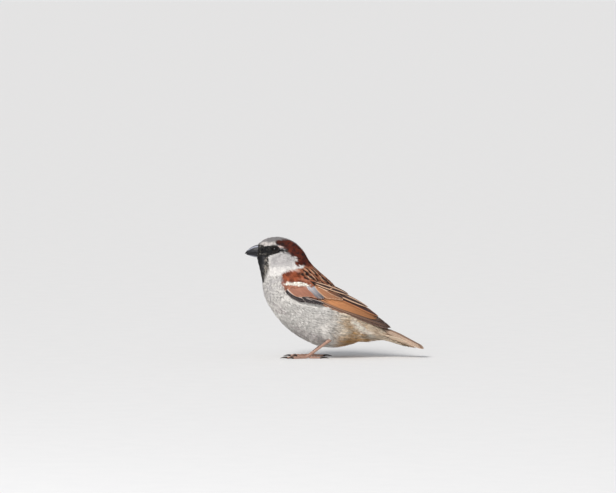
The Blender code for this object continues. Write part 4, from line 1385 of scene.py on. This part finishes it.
# ---------------------------------------------------------------------------------------------------
# The eyes: a dark ball with a wet cornea, set in the head's socket, and round each a lid of bare,
# pebbled skin that lies close on the ball and runs in under the small feathers of the face.
# ---------------------------------------------------------------------------------------------------
EYE_GAZE = unit(np.array((-0.12, 0.95, 0.28)))
CORNEA_BULGE = 0.06
EYE_SUNK = np.array((0.0, 0.32, 0.0))
LID_OPENING = (2.15, 1.80)  # half length and half height
LID_CURVE = 1.85  # 2 would make the opening a plain ellipse
LID_PROFILE = (  # out from the rim, share of the way from the ball to the face, height
    (-0.06, 0.0, -0.06), (0.0, 0.0, 0.08), (0.09, 0.0, 0.15), (0.20, 0.1, 0.15), (0.30, 0.2, 0.07),
    (0.38, 0.3, 0.0), (0.48, 0.4, 0.05), (0.60, 0.6, 0.05), (0.72, 0.8, -0.05), (0.90, 1.0, -0.25),
    (1.15, 1.0, -0.80),
)
EYE_POINTS, LID_POINTS = 48, 64  # round the gaze
FACE_LEVEL = 1.45  # the face's height over the eyeball's middle, along the gaze
IRIS_STOPS = ((0.0, 0.0), (0.46, 0.0), (0.50, 1.0), (0.78, 0.8), (0.88, 0.1))  # way out, share of brown
PUPIL_BLACK = shade(3, 3, 3)
IRIS_DARK = shade(16, 10, 8)
IRIS_BROWN = shade(30, 18, 12)
LID_GREY = shade(46, 42, 41)
LID_BLACK = shade(20, 18, 18)


def loft(rings, name, finish, capped=True):
    """A mesh through closed rings of points in millimetres; each end is closed to its middle."""
    rings = np.asarray(rings, float)
    rows, size = rings.shape[:2]
    verts = rings.reshape(-1, 3)
    faces = ring_faces(0, rows, size)
    if capped:
        verts = np.vstack([verts, rings[0].mean(0), rings[-1].mean(0)])
        last = (rows - 1) * size
        for k in range(size):
            faces.append(((k + 1) % size, k, rows * size))
            faces.append((last + k, last + (k + 1) % size, rows * size + 1))
    mesh = closed_mesh(name, (verts * MM).tolist(), faces)
    mesh.materials.append(finish)
    return mesh


def eye_setting(side, points):
    """For one eye: the ball's middle, its gaze, turns round the gaze, and the unit spoke at each turn."""
    mirror = (1, SIDES[side], 1)
    gaze = EYE_GAZE * mirror
    ahead = np.array((-1.0, 0.0, 0.0))
    ahead = unit(ahead - gaze * (ahead @ gaze))
    up = np.cross(gaze, ahead)
    up = up * np.sign(up[2])
    turn = np.linspace(0, 2 * np.pi, points + 1)[:-1]
    spokes = np.cos(turn)[:, None] * ahead + np.sin(turn)[:, None] * up
    return (EYE_CENTRE / MM - EYE_SUNK) * mirror, gaze, turn, spokes


def eyeball(side, finish):
    """The ball, bulging a little at the cornea."""
    middle, gaze, turn, spokes = eye_setting(side, EYE_POINTS)
    rings, marks = [], []
    for tilt in np.linspace(0.02, np.pi - 0.02, 33):
        radius = EYE_RADIUS / MM + CORNEA_BULGE * math.exp(-((tilt / 0.55) ** 2))
        rings.append(middle + radius * (math.cos(tilt) * gaze + math.sin(tilt) * spokes))
        level = np.full(EYE_POINTS, math.cos(tilt))
        marks.append(np.stack([np.sin(tilt) * np.cos(turn), np.sin(tilt) * np.sin(turn), level], 1))
    mesh = loft(rings, "eye", finish)
    store(mesh, "gaze", "FLOAT_VECTOR", np.vstack([*marks, [(0, 0, 1)], [(0, 0, -1)]]))
    return mesh


def eye_finish():
    """Black pupil in a dark brown iris, under a wet clear coat."""
    made, tree, shader = finish_of(
        "eye", {"Coat Weight": 0.7, "Coat Roughness": 0.02, "Specular IOR Level": 0.05, "Coat IOR": 1.36}
    )
    a, b, c = tree.parts("gaze")
    reach = (a * a + b * b) ** 0.5 + (1.0 - tree.maths("SIGN", c)) * 1.0
    rays = tree.noise(tree.vector(tree.maths("ARCTAN2", b, a) * 5.0, reach * 1.5), 2.4, 3.0)
    iris = tree.blend(rays, IRIS_DARK, IRIS_BROWN)
    stops = [(place, (share, share, share)) for place, share in IRIS_STOPS]
    share = tree.node("ShaderNodeValToRGB", {"stops": stops}, {0: reach})
    drive(tree, shader, base_color=tree.blend(share, PUPIL_BLACK, iris), roughness=rays * 0.1 + 0.5)
    return made


def lid(side, finish):
    """A ring of skin round the ball's opening, longer than it is high."""
    middle, gaze, turn, spokes = eye_setting(side, LID_POINTS)
    long, high = LID_OPENING
    rim = (np.abs(np.cos(turn)) / long) ** LID_CURVE + (np.abs(np.sin(turn)) / high) ** LID_CURVE
    rim = rim ** (-1 / LID_CURVE)
    contact = np.sqrt((EYE_RADIUS / MM) ** 2 - rim**2)
    rings = []
    for out, share, height in LID_PROFILE:
        pebble = 0.02 * np.sin(turn * 31 + out * 40) * (0 < out < 0.9)
        radius = rim + out + pebble
        level = contact + (FACE_LEVEL - contact) * share + height + pebble
        rings.append(middle + radius[:, None] * spokes + level[:, None] * gaze)
    back = rings[-1] - gaze * 0.5
    inner = middle + (rim - 0.25)[:, None] * spokes + (contact - 0.5)[:, None] * gaze
    return loft([inner, *rings, back, inner], "lid", finish, capped=False)


def lid_finish():
    made, tree, shader = finish_of("lid skin", {"Specular IOR Level": 0.2})
    pebbles = tree.cells(tree.place(), 4200.0)
    colour = tree.blend(pebbles, LID_GREY, LID_BLACK)
    bump = tree.bump(0.5, 0.0001, 1.0 - pebbles)
    drive(tree, shader, base_color=colour, roughness=pebbles * 0.2 + 0.4, normal=bump)
    return made


eye_look, lid_look = eye_finish(), lid_finish()
for side in SIDES:
    eye = piece(f"eyeball_{side}", eyeball(side, eye_look))
    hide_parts(f"eye_{side}")
    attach(eye, "root")
    rim_skin = piece(f"eyelid_{side}", lid(side, lid_look))
    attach(rim_skin, "root")


# ---------------------------------------------------------------------------------------------------
# The bill: a short, deep cone of black horn in two halves. The upper closes over the lower along a
# cutting edge, and carries a nostril each side near its base.
# ---------------------------------------------------------------------------------------------------
UPPER_BILL = (  # x, ridge height, height of the cutting edge, half width in millimetres
    (-62.85, 73.15, 72.62, 0.22), (-61.6, 74.70, 72.98, 0.88), (-59.0, 76.90, 73.32, 2.18),
    (-56.0, 78.50, 73.48, 3.38), (-52.6, 79.10, 73.02, 4.16), (-49.0, 78.40, 72.10, 4.3),
)
LOWER_BILL = (
    (-61.9, 72.30, 72.78, 0.25), (-60.6, 71.75, 73.08, 0.86), (-58.4, 71.00, 73.40, 2.05),
    (-55.6, 70.35, 73.55, 3.12), (-52.6, 70.05, 73.15, 3.85), (-49.0, 70.30, 72.20, 4.1),
)
NOSTRIL = np.array((-55.1, 2.55, 77.35))
NOSTRIL_SHAPE = np.array(((0.9, 0, 0.3), (0, 0.5, 0), (-0.45, 0, 1.9)))  # long, low and aslant
# painted highlight: where the upper half of the bill catches the light
BILL_PAINTED_HIGHLIGHT = (0.80, 0.17)  # place and half width of the pale band beside the ridge
BILL_BLACK = shade(9, 9, 11)
BILL_WEAR_AND_HIGHLIGHT = shade(172, 174, 187)
BILL_STATIONS, BILL_ARCH, BILL_FLOOR = 56, 32, 12  # points along it, over it, and under it


def bill_half(rows, name, finish):
    """An arched shell of horn: round over its ridge and flat where the halves meet."""
    stations = np.linspace(0, 1, BILL_STATIONS) ** 1.15 * (len(rows) - 1)
    arch = np.linspace(0, np.pi, BILL_ARCH)
    flat = np.linspace(-1, 1, BILL_FLOOR + 2)[1:-1]
    rings = []
    for x, ridge, edge, half in spline(rows, stations):
        wide = half * np.sign(np.cos(arch)) * np.abs(np.cos(arch)) ** 1.06
        high = edge + (ridge - edge) * np.sin(arch) ** 0.84
        sides = np.stack([np.full(BILL_ARCH, x), wide, high], 1)
        hollow = np.full(BILL_FLOOR, edge) + 0.25 * (1 - flat**2) * np.sign(ridge - edge)
        rings.append(np.vstack([sides, np.stack([np.full(BILL_FLOOR, x), flat * half, hollow], 1)]))
    rings = np.array(rings)
    for sign in (-1, 1):
        gap = np.sum(((rings - NOSTRIL * (1, sign, 1)) @ NOSTRIL_SHAPE) ** 2, -1)
        dent = 0.55 * np.exp(-gap / 0.30) - 0.10 * np.exp(-gap / 1.1)  # a slit with a raised rim
        rings[..., 1] -= sign * dent * (rings[..., 1] * sign > 0)
        rings[..., 2] -= 0.3 * dent * (rings[..., 1] * sign > 0)
    mesh = loft(rings, name, finish)
    # the band of painted highlight follows this share between the cutting edge and the ridge, and fades out
    # towards the tip
    rise = np.outer(smooth_step(0.4, 1.7, stations), np.r_[np.sin(arch), np.zeros(BILL_FLOOR)]).ravel()
    store(mesh, "rise", "FLOAT", np.r_[rise, 0.0, 0.0])
    return mesh


def horn_finish(name, dark, light, along_scale, gloss, sheen=None):
    """Horn that grows in fine lines along its length, worn a little dull and pale in places. Where sheen
    is given, a painted highlight: a paler band round sheen, a place and a half width between the
    cutting edge at 0 and the ridge at 1."""
    made, tree, shader = finish_of(
        name, {"Coat Weight": 0.12, "Coat Roughness": 0.22, "Specular IOR Level": 0.22}
    )
    place = tree.place()
    stretched = tree.node("ShaderNodeVectorMath", {"operation": "MULTIPLY"}, {0: place, 1: along_scale})
    lines = tree.noise(stretched, 1.0, 4.0, 0.6)
    wear = tree.noise(place, 420.0, 2.0)
    mask = lines * 0.6 + wear * 0.6 - 0.35
    # painted highlight: the pale band beside the ridge, where the bill catches the light
    if sheen:
        middle, reach = sheen
        band = tree.maths("SUBTRACT", 1.0, abs(tree.stored("rise") - middle) / reach, clamp=True)
        mask = mask * 0.15 + band * (lines * 0.6 + 0.65)
    colour = tree.blend(tree.maths("ADD", mask, 0.0, clamp=True), dark, light)
    bump = tree.bump(0.25, 0.00008, lines)
    drive(tree, shader, base_color=colour, roughness=wear * 0.25 + gloss, normal=bump)
    return made


bill_look = horn_finish("black horn", BILL_BLACK, BILL_WEAR_AND_HIGHLIGHT, (260.0, 1800.0, 1800.0), 0.32, BILL_PAINTED_HIGHLIGHT)
for name, rows in (("bill_upper", UPPER_BILL), ("bill_lower", LOWER_BILL)):
    half = piece(name + "_horn", bill_half(rows, name, bill_look))
    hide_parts(name)
    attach(half, "root")


# ---------------------------------------------------------------------------------------------------
# The legs and feet: bare scaled skin over bone. A row of plates runs down the front of the tarsus and
# along the top of each toe, with small scales behind and soft pads beneath. The claws are dark horn.
# ---------------------------------------------------------------------------------------------------
ANKLE = np.array((-2.4, 14.9, 14.0))  # y is a distance from the middle plane
TOE_JOINT = {"left": np.array((-18.6, 10.4, 1.75)), "right": np.array((-16.4, 10.4, 1.75))}
ANKLE_TUCK = np.array((  # how the shank's top places run in under the feathers of the thigh
    (-2.2, -3.8, -0.2), (-0.3, -2.4, 0.3), (0.0, -1.6, 0.0), (0.0, -0.8, 0.0),
))
TARSUS_RADIUS, TOE_RADIUS, SOLE_SHARE = 1.05, 0.86, 0.80
TOES = {  # angle from straight ahead, length, and length of the claw
    1: (176.0, 8.6, 6.2), 2: (-19.0, 10.6, 4.4), 3: (1.0, 14.6, 5.2), 4: (22.0, 11.2, 4.4),
}
SHANK_SHARES = np.array((-0.10, 0.0, 0.05, 0.12, 0.22, 0.5, 0.78, 0.9, 0.97))  # of the way from ankle to toes
SHANK_GIRTH = np.array((1.0, 1.2, 1.3, 1.22, 1.0, 0.92, 0.92, 1.06, 1.12))
KNOB_RADIUS = 1.25 * MM  # where the toes meet
CLAW_TIP = 0.24  # height of a claw's point at its middle
LEG_BROWN = shade(140, 102, 88)
LEG_PINK = shade(194, 158, 138)
LEG_SEAM = shade(104, 66, 56)
CLAW_BLACK = shade(34, 27, 25)
CLAW_BROWN = shade(96, 76, 66)
LEG_GRAIN = 0.16 * MM
LEG_SMOOTHING = 3
PLATE_LENGTH = {"tarsus": 2.1, "toe": 1.05}
PLATE_STEP = 0.10  # how far each plate's upper end stands over the next plate
CLAW_CLEARANCE = 0.02  # how far a claw stays above the floor


def along_path(points, shares, stations):
    """Evenly spaced places, and their directions, on a smooth line through points."""
    rows = np.column_stack([points, shares])
    line = spline(rows, np.linspace(0, len(rows) - 1, stations))
    run = unit(np.gradient(line[:, :3], axis=0))
    return line[:, :3], line[:, 3], run


def limb_rings(points, radii, stations, sides=20, deep=1.0):
    line, girth, run = along_path(points, radii, stations)
    turn = np.linspace(0, 2 * np.pi, sides + 1)[:-1]
    rings = []
    for middle, radius, ahead in zip(line, girth, run):
        across = unit(np.cross(ahead, (0.0, 0.0, 1.0)))
        up = np.cross(across, ahead)
        rings.append(middle + radius * (np.cos(turn)[:, None] * across + deep * np.sin(turn)[:, None] * up))
    return rings


def toe_line(side, number):
    """Places and radii along one toe, from the joint down to the floor and along it."""
    angle, length, _ = TOES[number]
    joint = TOE_JOINT[side] * (1, SIDES[side], 1)
    heading = np.array((-math.cos(math.radians(angle)), SIDES[side] * math.sin(math.radians(angle)), 0.0))
    points, radii = [], []
    for t in np.linspace(0, 1, 16):
        radius = TOE_RADIUS * (1.08 - 0.3 * t) * (1.0 + 0.09 * math.cos(t * 6.5 * math.pi))
        lying = SOLE_SHARE * radius
        spot = joint + heading * length * t
        spot[2] = lying + (joint[2] - lying) * max(0.0, 1 - t / 0.3) ** 2
        points.append(spot)
        radii.append(radius)
    return np.array(points), np.array(radii), heading


def leg_mesh(side, finish):
    """Tarsus, knob and toes run together into one skin, with its plates raised on it."""
    sign = np.array((1, SIDES[side], 1))
    ankle, joint = ANKLE * sign, TOE_JOINT[side] * sign
    shank = ankle + (joint - ankle) * SHANK_SHARES[:, None]
    shank[:len(ANKLE_TUCK)] += ANKLE_TUCK * sign
    lines = {"tarsus": (shank, TARSUS_RADIUS * SHANK_GIRTH)}
    for number in TOES:
        lines[number] = toe_line(side, number)[:2]
    bm = bmesh.new()
    for points, radii in lines.values():
        part = loft(limb_rings(points, radii, 40), "part", finish)
        bm.from_mesh(part)
        bpy.data.meshes.remove(part)
    knob = Matrix.Translation(joint * MM)
    bmesh.ops.create_uvsphere(bm, u_segments=24, v_segments=14, radius=KNOB_RADIUS, matrix=knob)
    mesh = bpy.data.meshes.new("leg")
    bm.to_mesh(mesh)
    bm.free()
    mesh = remeshed(mesh, LEG_GRAIN)
    spots = smoothed(mesh, points_of(mesh), LEG_SMOOTHING)
    move_points(mesh, spots)
    normals, spots = normals_of(mesh), spots / MM
    best = np.full(len(spots), np.inf)
    lift, groove = np.zeros(len(spots)), np.zeros(len(spots))
    for name, (points, radii) in lines.items():
        line, girth, ahead = along_path(points, radii, 160)
        tree = KDTree(len(line))
        for i, spot in enumerate(line):
            tree.insert(spot, i)
        tree.balance()
        near = np.array([tree.find(spot)[1:] for spot in spots])
        index = near[:, 0].astype(int)
        apart = near[:, 1] - girth[index]
        steps = np.linalg.norm(np.diff(line, axis=0), axis=1)
        travelled = np.concatenate([[0], np.cumsum(steps)])[index]
        share = (travelled / PLATE_LENGTH["tarsus" if name == "tarsus" else "toe"]) % 1.0
        front = np.array((0.0, 0.0, 1.0))
        if name == "tarsus":
            front = np.cross(ahead[index], (0.0, 1.0, 0.0))
            front = unit(front * np.where(front[:, :1] > 0, -1, 1))
        facing = smooth_step(0.1, 0.55, np.sum(normals * front, axis=1))
        plate = (smooth_step(0.0, 0.14, share) * (1.0 - 0.55 * share)) * facing
        mine = apart < best
        best = np.where(mine, apart, best)
        lift = np.where(mine, PLATE_STEP * (plate - 0.25 * facing), lift)
        seam = facing * smooth_step(0.16, 0.02, np.minimum(share, 1 - share))
        groove = np.where(mine, seam, groove)
    spots = spots + normals * lift[:, None]
    spots[:, 2] = np.maximum(spots[:, 2], 0.0)
    move_points(mesh, spots * MM)
    store(mesh, "groove", "FLOAT", groove)
    mesh.materials.clear()
    mesh.materials.append(finish)
    mesh.shade_smooth()
    return mesh


def leg_finish():
    """Pinkish brown skin, darker in the grooves between plates, with small scales everywhere else."""
    made, tree, shader = finish_of("leg skin", {"Specular IOR Level": 0.45})
    place = tree.place()
    scales = tree.cells(place, 1500.0, "DISTANCE_TO_EDGE")
    stain = tree.noise(place, 260.0, 4.0)
    seam = tree.maths("MAXIMUM", tree.stored("groove") * 0.8, 0.5 - scales * 9.0, clamp=True)
    colour = tree.blend(seam, tree.blend(stain, LEG_BROWN, LEG_PINK), LEG_SEAM)
    bump = tree.bump(0.5, 0.0001, tree.maths("MINIMUM", scales * 6.0, 1.0))
    drive(tree, shader, base_color=colour, roughness=stain * 0.2 + 0.42, normal=bump)
    return made


def claw_mesh(side, number, finish):
    """A claw that leaves the toe level, arches, and comes down to a point just above the floor."""
    points, radii, heading = toe_line(side, number)
    length, root, start = TOES[number][2], points[-1], radii[-1]
    line, girth = [], []
    for t in np.linspace(0, 1, 22):
        fall = root[2] - CLAW_TIP
        rise = 0.75 * math.sin(math.pi * t * 0.8) * (1 - t) - fall * t**1.6
        line.append(root + heading * (length * t - 0.25 * (t == 0)) + np.array((0, 0, rise)))
        girth.append(start * (0.92 * (1 - t) ** 0.75 + 0.05))
    rings = np.array(limb_rings(np.array(line), np.array(girth), 30, sides=14, deep=1.12))
    rings[..., 2] = np.maximum(rings[..., 2], CLAW_CLEARANCE)
    return loft(rings, "claw", finish)


leg_look = leg_finish()
claw_look = horn_finish("claw horn", CLAW_BLACK, CLAW_BROWN, (500.0, 900.0, 900.0), 0.3)
for side in SIDES:
    leg = piece(f"leg_skin_{side}", leg_mesh(side, leg_look))
    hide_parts(f"tarsus_{side}", f"foot_{side}")
    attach(leg, "root")
    for number in TOES:
        claw = piece(f"claw_horn_{side}_{number}", claw_mesh(side, number, claw_look))
        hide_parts(f"claw_{side}_{number}")
        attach(claw, "root")


# ---------------------------------------------------------------------------------------------------
# The stand: a plain pale floor under plain soft studio light, and the camera.
# ---------------------------------------------------------------------------------------------------
FLOOR_REACH = 150.0
FLOOR_DARK, FLOOR_LIGHT = (0.79, 0.79, 0.79), (0.83, 0.825, 0.82)  # in linear light
CAMERA_AIM = Vector((-18.7, 0.0, 77.8)) * MM
CAMERA_DISTANCE, CAMERA_RISE, CAMERA_LENS = 3.593, math.radians(3.0), 300.0
SUN_FROM, SUN_STRENGTH, SUN_SPREAD, SUN_TONE = (-0.85, -1.2, 1.35), 2.5, 0.45, (1.0, 0.975, 0.94)
BOX_PLACE, BOX_SIDE, BOX_POWER, BOX_TONE = (-0.6, -1.6, 0.5), 0.9, 5.0, (0.95, 0.97, 1.0)
ROOM_TONE, ROOM_STRENGTH = (0.86, 0.88, 0.92, 1.0), 0.50


def floor_finish():
    made, tree, shader = finish_of("floor", {"Roughness": 0.95, "Specular IOR Level": 0.05})
    grain = tree.noise(tree.place(), 60.0, 4.0)
    drive(tree, shader, base_color=tree.blend(grain, FLOOR_DARK, FLOOR_LIGHT))
    return made


def floor_mesh():
    bm = bmesh.new()
    bmesh.ops.create_circle(bm, cap_ends=True, segments=96, radius=FLOOR_REACH)
    mesh = bpy.data.meshes.new("floor")
    bm.to_mesh(mesh)
    bm.free()
    mesh.materials.append(floor_finish())
    return mesh


def placed(name, data, place, away):
    """Adds a lamp or the camera at a place, looking the other way from away."""
    made = piece(name, data)
    made.location = place
    made.rotation_mode = "QUATERNION"
    made.rotation_quaternion = away.to_track_quat("Z", "Y")
    return made


floor = piece("floor", floor_mesh())

sun = bpy.data.lights.new("key", "SUN")  # soft light of one direction, as from a large far window
sun.energy, sun.angle, sun.color = SUN_STRENGTH, SUN_SPREAD, SUN_TONE
placed("key", sun, (0, 0, 0), Vector(SUN_FROM))
box = bpy.data.lights.new("sheen", "AREA")  # a square soft box that faces the bird
box.shape, box.size, box.energy, box.color = "SQUARE", BOX_SIDE, BOX_POWER, BOX_TONE
placed("sheen", box, BOX_PLACE, Vector(BOX_PLACE) - CAMERA_AIM).visible_camera = False

world = bpy.data.worlds.new("studio")
world.use_nodes = True
world.node_tree.nodes["Background"].inputs["Color"].default_value = ROOM_TONE
world.node_tree.nodes["Background"].inputs["Strength"].default_value = ROOM_STRENGTH
bpy.context.scene.world = world
bpy.context.scene.view_settings.view_transform = "Standard"

lens = bpy.data.cameras.new("camera")
lens.lens, lens.sensor_width, lens.clip_end = CAMERA_LENS, 36.0, 400.0
away = Vector((0.0, -math.cos(CAMERA_RISE), math.sin(CAMERA_RISE)))
bpy.context.scene.camera = placed("camera", lens, CAMERA_AIM + away * CAMERA_DISTANCE, away)
